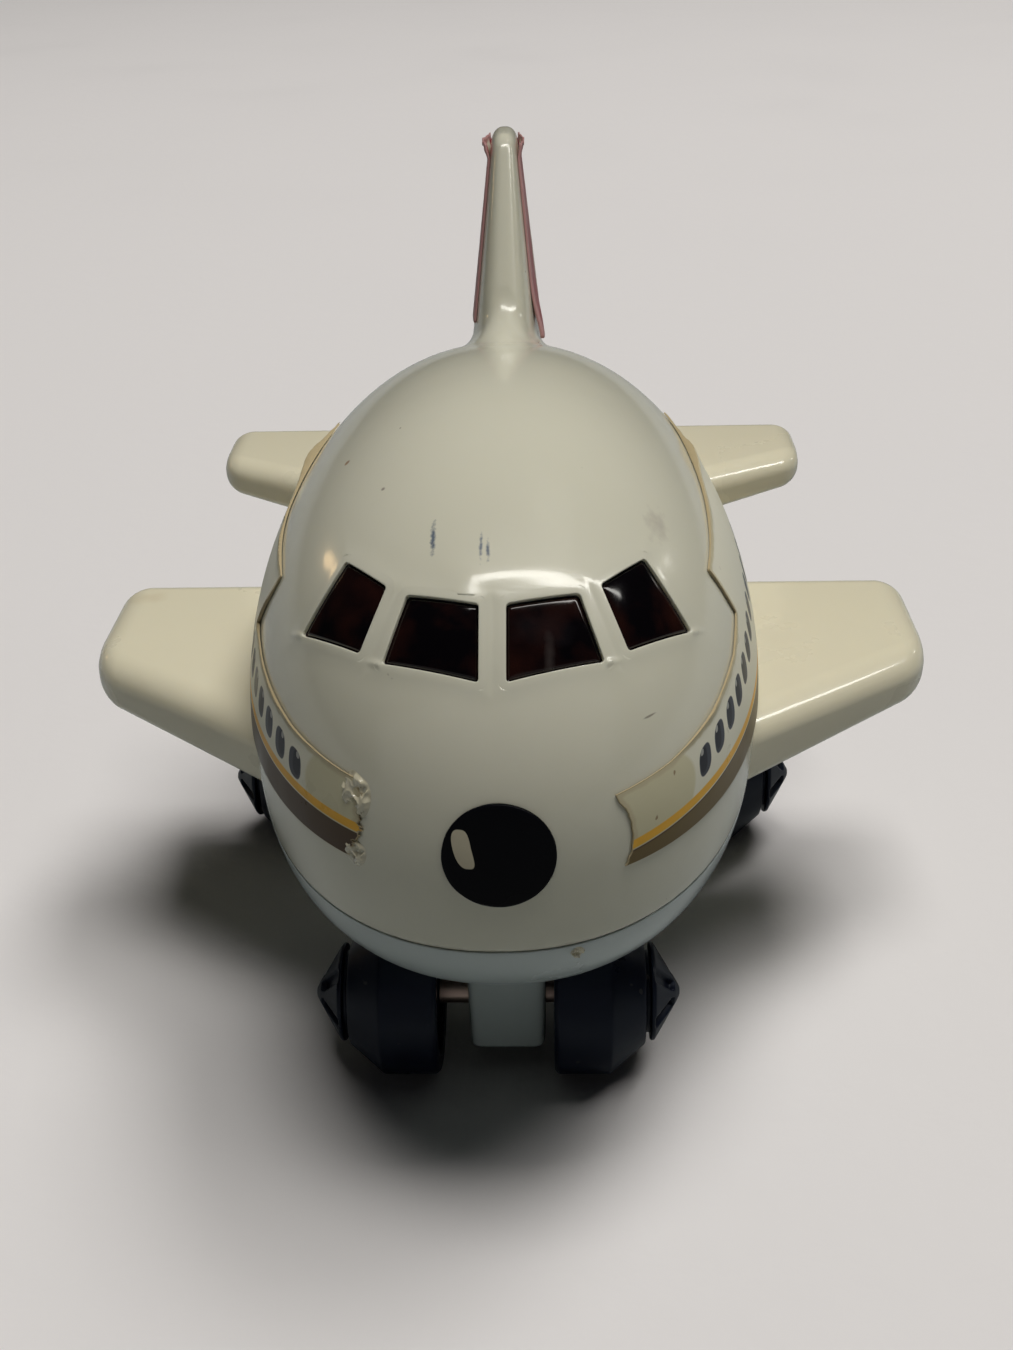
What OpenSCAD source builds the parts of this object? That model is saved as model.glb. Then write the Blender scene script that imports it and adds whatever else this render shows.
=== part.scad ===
// Friction-drive toy airplane: an egg-shaped jumbo with stubby wings and a flywheel motor.
// The nose points to -Y, the wheels stand on z = 0, and the middle of the length is y = 0.

/* [Body] */
// Half of the widest width of the body
body_half_w = 21.6; // [20.5:0.1:23]
// Length from the widest section to the nose
nose_l = 33.8; // [32:0.1:36]
// Length from the widest section to the tail
tail_l = 38.2; // [37:0.1:41]
// Height of the widest section above the ground
mid_z = 31; // [30:0.1:32]
// Height of the roof above the widest section
roof_h = 26; // [24.5:0.1:28]
// Depth of the belly below the widest section
belly_h = 17.2; // [17:0.1:17.6]
// Fullness of the belly, where 2 is an ellipse
belly_full = 3; // [2.8:0.1:3.2]
// Squareness of the plan outline, where 2 is an ellipse
plan_full = 2.15; // [2:0.01:2.3]
// Wall of the upper shell and the lower hull
wall = 1.5; // [1.3:0.1:1.7]
// Height of the seam between the upper shell and the lower hull
seam_z = 25.5; // [25:0.1:26]
// Height of the tongue that centres the upper shell on the hull
tongue_h = 1; // [0.8:0.1:1.2]
// Facets round the body
body_facets = 48; // [40:8:56]

/* [Cockpit and nose] */
// Tilt of the plane that the four windows lie in
window_tilt = 45; // [42:1:48]
// Depth of the panes below the shell's surface
pane_depth = 0.7; // [0.5:0.1:0.9]
// Thickness of the clear plate behind the windows
glazing_t = 0.9; // [0.7:0.1:1.2]
// Radius of the black nose disc
disc_r = 4; // [3.6:0.1:4.2]
// Height of the nose disc's centre
disc_z = 34; // [33.5:0.1:34.5]
// Backward tilt of the nose disc
disc_tilt = 11; // [9:1:13]

/* [Wings] */
// Half of the wing span
wing_half_span = 38.2; // [36:0.1:41]
// Height of the wing's flat top
wing_top_z = 30; // [29.9:0.1:30.2]
// Thickness of the wing at the body
wing_root_t = 6.3; // [5.8:0.1:6.6]
// Thickness of the wing at its tip
wing_tip_t = 4.8; // [4.2:0.1:5.4]
// Leading edge of the wing at the body
wing_root_lead = -12; // [-13:0.1:-11]
// Leading edge of the wing at its tip
wing_tip_lead = 0; // [-1:0.1:2]
// Trailing edge of the wing
wing_trail = 15.5; // [14.5:0.1:16.5]
// Distance from the middle plane where the wing's root sizes hold
wing_root_x = 21; // [20.5:0.1:21.5]

/* [Tail] */
// Half of the tailplane span
tail_half_span = 29.2; // [27:0.1:31]
// Height of the tailplane's flat top
tail_top_z = 39.8; // [39.4:0.1:40.2]
// Thickness of the tailplane at the body
tail_root_t = 4.2; // [3.8:0.1:4.5]
// Thickness of the tailplane at its tip
tail_tip_t = 3.4; // [3:0.1:3.8]
// Leading edge of the tailplane at the body
tail_root_lead = 16.8; // [16:0.1:17.5]
// Leading edge of the tailplane at its tip
tail_tip_lead = 23; // [22:0.1:24]
// Trailing edge of the tailplane
tail_trail = 32.4; // [31.5:0.1:33]
// Distance from the middle plane where the tailplane's root sizes hold
tail_root_x = 18; // [17:0.1:19]
// Height of the fin's tip above the ground
fin_top_z = 70.2; // [68:0.1:73]
// Leading edge of the fin at its tip
fin_tip_lead = 26.5; // [25.5:0.1:27.5]
// Trailing edge of the fin
fin_trail = 33.5; // [32.8:0.1:34.3]
// Sweep of the fin's leading edge for each millimetre of height
fin_sweep = 0.85; // [0.8:0.01:0.9]
// Thickness of the fin near its tip
fin_tip_t = 2.2; // [2:0.1:2.6]
// Growth of the fin's thickness for each millimetre down
fin_flare = 0.16; // [0.14:0.01:0.18]

/* [Stickers] */
// Thickness of the vinyl stickers
sticker_t = 0.2; // [0.15:0.01:0.25]
// Gap between a sticker and the surface under it
sticker_gap = 0.06; // [0.04:0.01:0.08]
// Lower edge of the side stickers
side_low_z = 30.6; // [30.4:0.1:31]
// Upper edge of the side stickers at the front
side_front_z = 37.4; // [36.5:0.1:38.5]
// Upper edge of the side stickers behind the cockpit
side_tall_z = 46.5; // [45:0.1:48]
// Rear end of the side stickers as an angle round the body
side_rear_angle = 24; // [22:1:25]
// Front end of the side stickers as an angle round the body
side_front_angle = 63; // [60:1:65]
// Front edge of the fin stickers as a fraction of the fin's length
fin_sticker_front = 0.25; // [0.2:0.01:0.3]
// Rear edge of the fin stickers as a fraction of the fin's length
fin_sticker_back = 0.92; // [0.88:0.01:0.94]
// Distance from the fin's tip down to the fin stickers
fin_sticker_drop = 1.4; // [1.2:0.1:2]
// Height of the fin stickers
fin_sticker_h = 12; // [10:0.5:12.5]

/* [Wheels and axles] */
// Distance between the two axles
wheelbase = 34; // [33.6:0.1:34.4]
// Distance from the nose to the front axle
front_overhang = 17; // [16.6:0.1:17.4]
// Radius of the wheels
wheel_r = 7; // [6.8:0.1:7.4]
// Width of a wheel's tread
tread_w = 4.8; // [4.4:0.1:5.2]
// Width of a wheel's conical shoulder
shoulder_w = 3; // [2.6:0.1:3.4]
// Radius of a wheel's hub cone at its base
hub_r = 4.2; // [3.8:0.1:4.4]
// Height of a wheel's hub cone
hub_h = 2.65; // [2.3:0.05:3]
// Width of the groove between the shoulder and the hub cone
groove_w = 0.45; // [0.35:0.05:0.6]
// Radius of the steel axles
axle_r = 1; // [0.9:0.05:1.05]
// Depth of the blind bore that holds an axle in a wheel
axle_seat = 7; // [6:0.1:8]
// Distance from the middle to a front wheel's inner face
front_face_x = 4.9; // [4.7:0.1:5.4]
// Distance from the middle to a rear wheel's inner face
rear_face_x = 18.4; // [18:0.1:19]
// Sideways rest place of the front wheels within their end play
front_shift = -0.9; // [-1:0.1:1]
// Sideways rest place of the rear wheels within their end play
rear_shift = -0.4; // [-0.5:0.1:0.5]
// Radial clearance of a turning shaft
running = 0.06; // [0.04:0.01:0.08]
// Half of the nose strut's width
strut_half_w = 3.3; // [3:0.1:3.4]
// Length of the nose strut
strut_l = 7; // [6.4:0.1:7.6]
// Height of the nose strut's foot above the ground
strut_low_z = 3.3; // [3:0.1:3.8]

/* [Friction motor] */
// Size of the gear teeth, pitch diameter for each tooth
tooth = 0.5; // [0.48:0.01:0.51]
// Teeth of the gear on the rear axle
axle_teeth = 14;
// Teeth of each pinion
pinion_teeth = 8;
// Teeth of the first gear of the train
gear_1_teeth = 14;
// Teeth of the second gear of the train
gear_2_teeth = 16;
// Pressure angle of the teeth
pressure = 25; // [24:1:26]
// Gap between the flanks of two teeth
backlash = 0.12; // [0.1:0.01:0.14]
// Width of a gear
gear_w = 1.6; // [1.4:0.1:1.7]
// Distance between the planes of two gears
gear_step = 2.1; // [2:0.1:2.3]
// Radius of the steel gear shafts
shaft_r = 0.75; // [0.7:0.05:0.8]
// Radius of the flywheel
flywheel_r = 5.4; // [5:0.1:5.5]
// Width of the flywheel
flywheel_w = 3.2; // [3:0.1:3.4]
// Half of the motor case's width
case_half_w = 6.4; // [6.2:0.1:6.6]
// Wall of the motor case
case_wall = 1; // [0.9:0.1:1.1]
// Gap between the gears and the inside of the motor case
gear_room = 0.4; // [0.3:0.1:0.5]

/* [Screws] */
// Radius of the screw shanks
screw_r = 0.8; // [0.7:0.05:0.9]
// Radius of the screw heads
screw_head_r = 1.7; // [1.5:0.1:1.8]
// Height of the screw heads
screw_head_h = 1; // [0.9:0.1:1.2]
// Radius of the posts that the body screws hold
post_r = 2.3; // [2.2:0.1:2.4]
// Distance from the middle of the length forward to the front screw
front_screw_y = -12; // [-12.5:0.1:-11.5]
// Distance from the back of the motor case to the rear screw
rear_screw_gap = 5.5; // [5.4:0.1:5.7]

/* [Hidden] */

shell_white = "#e4e5de";
hull_white = "#d9dee0";
cream = "#e9e3cc";
black = "#14151a";
steel = "#b9bcc0";

// The widest section lies so that nose and tail are as far from y = 0.
mid_y = (nose_l - tail_l) / 2;
nose_y = mid_y - nose_l;
roof_z = mid_z + roof_h;
belly_z = mid_z - belly_h;
round_fn = 32;
fine_fn = 48;
seat = 0.05;
over = 0.5;

// Fraction of the plan outline that a level of the body reaches, at a depth under the surface.
function level(z, d) =
    let (full = z > mid_z ? 2 : belly_full,
         h = (z > mid_z ? roof_h : belly_h) - d)
    pow(max(0, 1 - pow(min(1, abs(z - mid_z) / h), full)), 1 / full);

// Point of the body at a height and an angle in plan, at a depth under the surface.
function skin_point(z, a, d) =
    let (c = cos(a), s = sin(a),
         k = level(z, d) * pow(pow(abs(c), plan_full) + pow(abs(s), plan_full), -1 / plan_full))
    [(body_half_w - d) * k * c, mid_y + ((s < 0 ? nose_l : tail_l) - d) * k * s, z];

// Height of the keel line at a place of the length, at a depth under the surface.
function keel_z(y, d) = mid_z - (belly_h - d)
    * pow(1 - pow(abs(y - mid_y) / ((y < mid_y ? nose_l : tail_l) - d), belly_full), 1 / belly_full);

function skin_ring(z, d) = [for (i = [0 : body_facets - 1]) skin_point(z, 360 * i / body_facets, d)];

// Rings from a roof's pole down to the widest section and on to a height.
function roof_rings(d, steps, z_end) = concat([[[0, mid_y, roof_z - d]]],
    [for (i = [1 : steps]) skin_ring(mid_z + (roof_h - d) * cos(90 * i / steps), d)],
    [skin_ring(z_end, d)]);

// Rings from a height down to a belly's pole.
function belly_rings(d, steps, z_start) =
    let (h = belly_h - d, a0 = asin((mid_z - z_start) / h))
    concat([for (i = [0 : steps - 1]) skin_ring(mid_z - h * sin(a0 + (90 - a0) * i / steps), d)],
        [[[0, mid_y, belly_z + d]]]);

function backward(list) = [for (i = [len(list) - 1 : -1 : 0]) list[i]];

// Closed surface through rings of points. A ring of one point is a pole, and other ends are capped.
module skin(rings) {
    n = max([for (r = rings) len(r)]);
    start = [for (i = 0, s = 0; i < len(rings); s = s + len(rings[i]), i = i + 1) s];
    last = len(rings) - 1;
    sides = [for (i = [0 : last - 1]) let (a = start[i], b = start[i + 1])
        for (j = [0 : n - 1]) let (k = (j + 1) % n)
            each len(rings[i]) == 1 ? [[a, b + k, b + j]]
                : len(rings[i + 1]) == 1 ? [[a + j, a + k, b]]
                : [[a + j, a + k, b + k], [a + j, b + k, b + j]]];
    caps = [if (len(rings[0]) > 1) [for (j = [n - 1 : -1 : 0]) j],
            if (len(rings[last]) > 1) [for (j = [0 : n - 1]) start[last] + j]];
    polyhedron([for (r = rings) each r], concat(sides, caps), convexity = 8);
}

// The body as a solid egg, at a depth under the surface.
module egg(d) {
    skin(concat(roof_rings(d, 9, mid_z - over), belly_rings(d, 7, mid_z - 2 * over)));
}

// Thin slab over a patch of the body. rows(i, j) are [height, angle] pairs.
module patch(rows, outer_d, inner_d) {
    m = len(rows[0]);
    skin([for (r = rows) concat([for (p = r) skin_point(p[0], p[1], outer_d)],
        [for (j = [m - 1 : -1 : 0]) skin_point(r[j][0], r[j][1], inner_d)])]);
}

// Side of the body just outside its surface, down to a depth, to trim what butts against it.
module flank(angles, heights, d) {
    patch(backward([for (a = angles) [for (z = heights) [z, a]]]), -seat, d);
}

function sgn_pow(v, e) = sign(v) * pow(abs(v), e);

// Tapered slab with rounded edges and a rounded tip, standing out along +X.
module slab(x_in, x_root, x_tip, lead_root, lead_tip, trail, top, t_root, t_tip, plan_r, edge_r) {
    corner_n = 24;
    square_e = 0.36;
    stations = concat([for (a = [90 : -22.5 : 0]) [x_tip - plan_r * (1 - sin(a)), 1 - cos(a)]],
        [[x_in, 0]]);
    skin([for (s = stations)
        let (f = (s[0] - x_root) / (x_tip - x_root),
             y0 = lead_root + (lead_tip - lead_root) * f + plan_r * s[1],
             y1 = trail - plan_r * s[1],
             t = t_root + (t_tip - t_root) * f,
             z0 = top - t + edge_r * s[1],
             z1 = top - edge_r * s[1])
        [for (i = [0 : corner_n - 1]) let (a = 360 * (i + 0.5) / corner_n)
            [s[0], (y0 + y1) / 2 + (y1 - y0) / 2 * sgn_pow(cos(a), square_e),
             (z0 + z1) / 2 + (z1 - z0) / 2 * sgn_pow(sin(a), square_e)]]]);
}

// Rod along +X from x0 to x1 at a place of the side view.
module rod(x0, x1, at, r) {
    translate([x0, at[0], at[1]]) rotate([0, 90, 0]) cylinder(h = x1 - x0, r = r, $fn = fine_fn);
}

// Wings and tailplanes
wing_edge_r = 1.3;
wing_plan_r = 2.6;
tail_edge_r = 1;
tail_plan_r = 2;
inside = 3.5;
wing_trim = 5;
flank_rise = 0.48;
tail_trim = 13.5;
tail_flank_rise = 0.88;
tab_gap = 0.1;
tab_depth = 5;
wing_tab_y = -5;
wing_tab_l = 15;
wing_tab_t = 1.8;
wing_tab_lift = 0.7;
wing_tab = [[wing_root_x - tab_depth, wing_tab_y, seam_z + tongue_h + wing_tab_lift],
    [tab_depth + 2, wing_tab_l, wing_tab_t]];
tail_tab_x = 8;
tail_tab_y = 22;
tail_tab_l = 6;
tail_tab_t = 1.6;
tail_tab = [[tail_tab_x, tail_tab_y, tail_top_z - tail_root_t / 2 - tail_tab_t / 2],
    [tail_root_x + 2 - tail_tab_x, tail_tab_l, tail_tab_t]];

module tab(t, grow) {
    translate(t[0] - [grow, grow, grow]) cube(t[1] + 2 * [grow, grow, grow]);
}

module wing() {
    difference() {
        slab(wing_root_x - inside, wing_root_x, wing_half_span, wing_root_lead, wing_tip_lead,
            wing_trail, wing_top_z, wing_root_t, wing_tip_t, wing_plan_r, wing_edge_r);
        flank([-37.5 : 7.5 : 37.5],
            [for (i = [0 : 5]) wing_top_z + wing_root_t * (flank_rise - 0.4 * i)], wing_trim);
    }
    tab(wing_tab, 0);
}

module tailplane() {
    difference() {
        slab(tail_tab[0][0], tail_root_x, tail_half_span, tail_root_lead, tail_tip_lead,
            tail_trail, tail_top_z, tail_root_t, tail_tip_t, tail_plan_r, tail_edge_r);
        flank([7.5 : 7.5 : 90],
            [for (i = [0 : 4]) tail_top_z + tail_root_t * (tail_flank_rise - 0.6 * i)], tail_trim);
    }
    tab(tail_tab, 0);
}

module wing_right() { color(cream) wing(); }
module wing_left() { color(cream) mirror([1, 0, 0]) wing(); }
module tailplane_right() { color(cream) tailplane(); }
module tailplane_left() { color(cream) mirror([1, 0, 0]) tailplane(); }

// Fin: [drop below the tip, inset of the edges, fraction of the thickness]
fin_tip_rows = [[0, 1.1, 0.5], [0.35, 0.45, 0.85], [1, 0, 1]];
fin_root_z = mid_z + roof_h / 2;

function fin_half_t(z) = fin_tip_t / 2 + fin_flare / 2 * (fin_top_z - z);
function fin_lead(z) = fin_tip_lead - fin_sweep * (fin_top_z - z);

// Outline of the fin at a height, a long oval whose ends are a little squarer than an ellipse's.
fin_facets = 24;
fin_side_e = 0.7;
fin_end_e = 0.8;

function fin_ring(z, inset, k) =
    let (y0 = fin_lead(z) + inset, y1 = fin_trail - inset, t = fin_half_t(z) * k)
    [for (i = [0 : fin_facets - 1]) let (a = 360 * i / fin_facets)
        [t * sgn_pow(cos(a), fin_side_e), (y0 + y1) / 2 + (y1 - y0) / 2 * sgn_pow(sin(a), fin_end_e), z]];

module fin() {
    below = 6;
    tip_z = fin_top_z - fin_tip_rows[2][0];
    skin(concat([for (r = fin_tip_rows) fin_ring(fin_top_z - r[0], r[1], r[2])],
        [for (i = [1 : below]) fin_ring(tip_z - (tip_z - fin_root_z) * i / below, 0, 1)]));
}

// Windows: corners of the two right panes in the window plane, across and up
inner_pane = [[0.95, -2.9], [7.7, -1.1], [6, 3.7], [0.95, 2.7]];
outer_pane = [[9.4, -0.1], [14.2, 2.5], [10.8, 7.4], [7.5, 4.6]];
window_y = -28.6;
window_z = 47;
window_reach = 12;

function shrunk(pts, gap) =
    let (c = [for (k = [0, 1]) (pts[0][k] + pts[1][k] + pts[2][k] + pts[3][k]) / 4])
    [for (p = pts) c + (p - c) * (1 - gap / norm(p - c))];

module panes(gap) {
    translate([0, window_y, window_z]) rotate([window_tilt, 0, 0])
        for (m = [0, 1], pane = [inner_pane, outer_pane])
            mirror([m, 0, 0]) translate([0, 0, -window_reach])
                linear_extrude(2 * window_reach) polygon(shrunk(pane, gap));
}

glazing_angles = [218 : 6.5 : 322];
glazing_reach = 3.8;
glazing_step = glazing_reach / 2;
glazing_top = 0.95;
glazing_heights = [for (i = [0 : 4]) window_z + glazing_top * glazing_reach - glazing_step * i];
glazing_rows = [for (a = glazing_angles) [for (z = glazing_heights) [z, a]]];
plate_gap = 0.1;

module cockpit_glazing() {
    color("#2a1712") {
        patch(backward(glazing_rows), wall + plate_gap, wall + plate_gap + glazing_t);
        intersection() {
            patch(backward(glazing_rows), pane_depth, wall + 2 * plate_gap);
            panes(plate_gap);
        }
    }
}

// Nose disc: a vinyl disc that follows the shell
disc_side = 0.3;
disc_rings = 4;

// Point of the nose at a height and a distance from the middle plane, at a depth.
function nose_point(x, z, d) =
    [x, mid_y - (nose_l - d) * pow(pow(level(z, d), plan_full) - pow(abs(x) / (body_half_w - d), plan_full),
        1 / plan_full), z];

function disc_ring(i, d) = [for (a = [0 : 12 : 348]) let (r = disc_r * i / disc_rings)
    nose_point(disc_side + r * cos(a), disc_z + r * cos(disc_tilt) * sin(a), d)];

module nose_disc() {
    color(black) skin(concat([[nose_point(disc_side, disc_z, -sticker_gap - sticker_t)]],
        [for (i = [1 : disc_rings]) disc_ring(i, -sticker_gap - sticker_t)],
        [for (i = [disc_rings : -1 : 1]) disc_ring(i, -sticker_gap)],
        [[nose_point(disc_side, disc_z, -sticker_gap)]]));
}

// Upper shell with its fin, moulded in one
module upper_shell() {
    lip_z = seam_z + tongue_h + tab_gap;
    lip_d = wall / 2;
    color(shell_white) difference() {
        union() {
            skin(concat(roof_rings(0, 12, seam_z), [skin_ring(seam_z, lip_d), skin_ring(lip_z, lip_d)],
                backward(roof_rings(wall, 9, lip_z))));
            for (p = [[front_screw_y, front_post_top], [rear_screw_y, rear_post_top]])
                translate([0, p[0], post_low_z]) cylinder(h = p[1] - post_low_z, r = post_r, $fn = fine_fn);
            difference() {
                fin();
                egg(wall / 2);
            }
        }
        panes(0);
        for (m = [0, 1]) mirror([m, 0, 0]) {
            tab(wing_tab, tab_gap);
            tab(tail_tab, tab_gap);
        }
        for (y = screw_places) translate([0, y, post_low_z - 1])
            cylinder(h = pilot_l + 1, r = screw_r + seat, $fn = round_fn);
    }
}

// Friction motor: places of the shafts in the side view, [y, z]
front_axle = [nose_y + front_overhang, wheel_r];
rear_axle_at = [front_axle[0] + wheelbase, wheel_r];
train_lean = 120;
lower_reach = tooth * (axle_teeth + pinion_teeth) / 2;
middle_reach = tooth * (gear_1_teeth + pinion_teeth) / 2;
upper_reach = tooth * (gear_2_teeth + pinion_teeth) / 2;
shaft_1_at = rear_axle_at + lower_reach * [cos(train_lean), sin(train_lean)];
shaft_2_at = shaft_1_at + [0, middle_reach];
shaft_3_at = shaft_2_at + [0, upper_reach];
addendum = 0.75 * tooth;
dedendum = 1.05 * tooth;
plane_1 = -1.5 * gear_step;
plane_2 = -0.5 * gear_step;
plane_3 = 0.5 * gear_step;
flywheel_x = case_half_w + 0.6;

function tip_r(n) = tooth * n / 2 + addendum;
function involute(a) = tan(a) * 180 / PI - a;

// Outline of a spur gear with a tooth centred on the angle phase.
function gear_outline(n, phase) =
    let (pitch_r = tooth * n / 2, base_r = pitch_r * cos(pressure), root_r = pitch_r - dedendum,
         half = 90 / n - backlash / 4 / pitch_r * 180 / PI,
         radii = [max(base_r, root_r), pitch_r, (pitch_r + tip_r(n)) / 2, tip_r(n)],
         flank = concat([[root_r, half + involute(pressure)]],
             [for (r = radii) [r, half + involute(pressure) - involute(acos(min(1, base_r / r)))]]))
    [for (i = [0 : n - 1]) let (mid = phase + 360 * i / n)
        each concat([for (p = flank) [p[0] * cos(mid - p[1]), p[0] * sin(mid - p[1])]],
            [for (p = backward(flank)) [p[0] * cos(mid + p[1]), p[0] * sin(mid + p[1])]])];

// Phase of a gear of n2 teeth that meshes with one of n1 teeth, seen along the line at an angle.
function mesh_phase(n1, phase_1, line, n2) = line + 180 + 180 / n2 + (line - phase_1) * n1 / n2;

pinion_1_phase = mesh_phase(axle_teeth, 0, train_lean, pinion_teeth);
pinion_2_phase = mesh_phase(gear_1_teeth, 0, 90, pinion_teeth);
pinion_3_phase = mesh_phase(gear_2_teeth, 0, 90, pinion_teeth);

module spur(n, phase, at, x0, x1) {
    translate([x0, at[0], at[1]]) rotate([90, 0, 90])
        linear_extrude(x1 - x0) polygon(gear_outline(n, phase));
}

module drive_gear() {
    x = plane_1 - gear_w / 2;
    color("ivory") difference() {
        spur(axle_teeth, 0, rear_axle_at, x, x + gear_w);
        rod(x - over, x + gear_w + over, rear_axle_at, axle_r);
    }
}

// Pinion and gear moulded in one, with a plain collar between them
module cluster(at, phase, teeth, x_pinion, x_gear) {
    difference() {
        union() {
            spur(pinion_teeth, phase, at, x_pinion - gear_w / 2, x_gear - gear_w / 2 + seat);
            spur(teeth, 0, at, x_gear - gear_w / 2, x_gear + gear_w / 2);
        }
        rod(x_pinion - gear_w, x_gear + gear_w, at, shaft_r);
    }
}

module gear_cluster_1() {
    color("ivory") cluster(shaft_1_at, pinion_1_phase, gear_1_teeth, plane_1, plane_2);
}

module gear_cluster_2() {
    color("ivory") cluster(shaft_2_at, pinion_2_phase, gear_2_teeth, plane_2, plane_3);
}

module flywheel_pinion() {
    x = plane_3 - gear_w / 2;
    color("gold") difference() {
        spur(pinion_teeth, pinion_3_phase, shaft_3_at, x, x + gear_w + gear_room);
        rod(x - over, x + 2 * gear_w, shaft_3_at, shaft_r);
    }
}

shaft_end = case_half_w - 0.2;
module shaft_1() { color(steel) rod(-shaft_end, shaft_end, shaft_1_at, shaft_r); }
module shaft_2() { color(steel) rod(-shaft_end, shaft_end, shaft_2_at, shaft_r); }
module flywheel_shaft() { color(steel) rod(-shaft_end, flywheel_x + flywheel_w, shaft_3_at, shaft_r); }

// Flywheel: a turned disc with a heavy rim and a hub
module flywheel() {
    web = 1;
    rim = 1.8;
    hub = 1.9;
    color("#8f9499") translate([flywheel_x, shaft_3_at[0], shaft_3_at[1]]) rotate([90, 0, 90])
        difference() {
            cylinder(h = flywheel_w, r = flywheel_r, $fn = fine_fn);
            translate([0, 0, web]) difference() {
                cylinder(h = flywheel_w, r = flywheel_r - rim, $fn = fine_fn);
                cylinder(h = flywheel_w, r = hub, $fn = fine_fn);
            }
            translate([0, 0, -over]) cylinder(h = flywheel_w + 1, r = shaft_r, $fn = fine_fn);
        }
}

// Motor case: room for the gears, two pillars for its screws, and two ears that sit on the hull
case_front = shaft_2_at[0] - tip_r(gear_2_teeth) - gear_room - case_wall;
case_back = rear_axle_at[0] + tip_r(axle_teeth) + gear_room + case_wall;
case_low = rear_axle_at[1] - tip_r(axle_teeth) - gear_room - case_wall;
case_high = shaft_3_at[1] + tip_r(pinion_teeth) + 2 * gear_room + case_wall;
pillar_r = 1.5;
pillar_sink = 0.4;
pillar_y = case_back - case_wall - pillar_r + pillar_sink;
pillar_places = [[pillar_y, rear_axle_at[1] + tip_r(axle_teeth) + 2 * gear_room],
    [pillar_y, case_high - case_wall - pillar_r + pillar_sink]];
ear_rim = 0.35;
ear_l = 2 * (screw_head_r + ear_rim);
rear_ear_l = 2.2;
ear_t = 1.2;
ear_half_w = 2.4;
mount_y = case_front - ear_l / 2;

// The ears clear the hull's floor, which rises to the tail.
ear_rise = 0.6;
ear_z = keel_z(case_back + rear_ear_l, wall) + ear_rise;

module case_half(side) {
    x0 = side < 0 ? -case_half_w : 0;
    difference() {
        union() {
            difference() {
                translate([x0, case_front, case_low])
                    cube([case_half_w, case_back - case_front, case_high - case_low]);
                translate([side < 0 ? x0 + case_wall : -over, case_front + case_wall, case_low + case_wall])
                    cube([case_half_w - case_wall + over, case_back - case_front - 2 * case_wall,
                        case_high - case_low - 2 * case_wall]);
            }
            for (p = pillar_places) rod(x0 + case_wall / 2, x0 + case_half_w - (side < 0 ? 0 : case_wall / 2),
                p, pillar_r);
            for (e = [[case_front - ear_l, ear_l], [case_back, rear_ear_l]])
                translate([side < 0 ? -ear_half_w : 0, e[0], ear_z]) cube([ear_half_w, e[1], ear_t]);
        }
        rod(-case_half_w - 1, case_half_w + 1, rear_axle_at, axle_r + running);
        for (at = [shaft_1_at, shaft_2_at, shaft_3_at])
            rod(-case_half_w - 1, case_half_w + 1, at, shaft_r + running);
        for (p = pillar_places) rod(-case_half_w - 1, case_half_w + 1, p, screw_r + seat);
        mount_hole(seat);
    }
}

module mount_hole(gap) {
    translate([0, mount_y, ear_z - 2]) cylinder(h = 5, r = screw_r + gap, $fn = round_fn);
}

module motor_case_left() { color("#5d6064") case_half(-1); }
module motor_case_right() { color("#5d6064") case_half(1); }

module case_screw(p) {
    translate([-case_half_w, p[0], p[1]]) rotate([0, 90, 0]) screw(2 * case_half_w - 0.4);
}

module motor_screw_lower() { color(steel) case_screw(pillar_places[0]); }
module motor_screw_upper() { color(steel) case_screw(pillar_places[1]); }

mount_l = 2.6;
module mount_screw() {
    color(steel) translate([0, mount_y, ear_z + ear_t]) rotate([180, 0, 0]) screw(mount_l);
}

// Screws and posts
pilot_l = 7;
post_low_z = seam_z - 1.5;
screw_gap = 0.1;
head_room = 0.3;
screw_grip = 5.5;
post_sink = 0.6;
rear_screw_y = case_back + rear_screw_gap;
screw_places = [front_screw_y, rear_screw_y];

// Height of a hull screw's seat, with its head sunk just above the keel line.
function screw_seat_z(y) = keel_z(y, 0) + screw_head_h + head_room;

// The front post ends inside the roof's wall, and the rear one inside the root of the fin.
front_post_top = mid_z + roof_h * sqrt(1 - pow((front_screw_y - post_r - mid_y) / nose_l, 2)) - 4 * seat;
rear_post_top = mid_z + roof_h * sqrt(1 - pow((rear_screw_y - post_r - mid_y) / tail_l, 2)) + post_sink;

module screw(l) {
    slot_l = 2;
    slot_w = 0.4;
    slot_deep = 0.4;
    cylinder(h = l, r = screw_r, $fn = round_fn);
    difference() {
        translate([0, 0, -screw_head_h]) cylinder(h = screw_head_h, r = screw_head_r, $fn = round_fn);
        for (a = [0, 90]) rotate(a) translate([-slot_l / 2, -slot_w / 2, -screw_head_h - over])
            cube([slot_l, slot_w, slot_deep + over]);
    }
}

module hull_screw(y) {
    color(steel) translate([0, y, screw_seat_z(y)]) screw(post_low_z + screw_grip - screw_seat_z(y));
}

module hull_screw_front() { hull_screw(front_screw_y); }
module hull_screw_rear() { hull_screw(rear_screw_y); }

// Lower hull: belly, nose strut, screw bosses and the pads and opening of the motor
opening_gap = 0.3;
strut_front = front_axle[0] - strut_l / 2;

module nose_strut() {
    top_z = keel_z(strut_front, 0) + wall / 3;
    corner = 0.8;
    translate([0, strut_front + strut_l, 0]) rotate([90, 0, 0]) linear_extrude(strut_l)
        polygon([[-strut_half_w, top_z], [-strut_half_w, strut_low_z + corner],
            [-strut_half_w + corner, strut_low_z], [strut_half_w - corner, strut_low_z],
            [strut_half_w, strut_low_z + corner], [strut_half_w, top_z]]);
}

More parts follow.
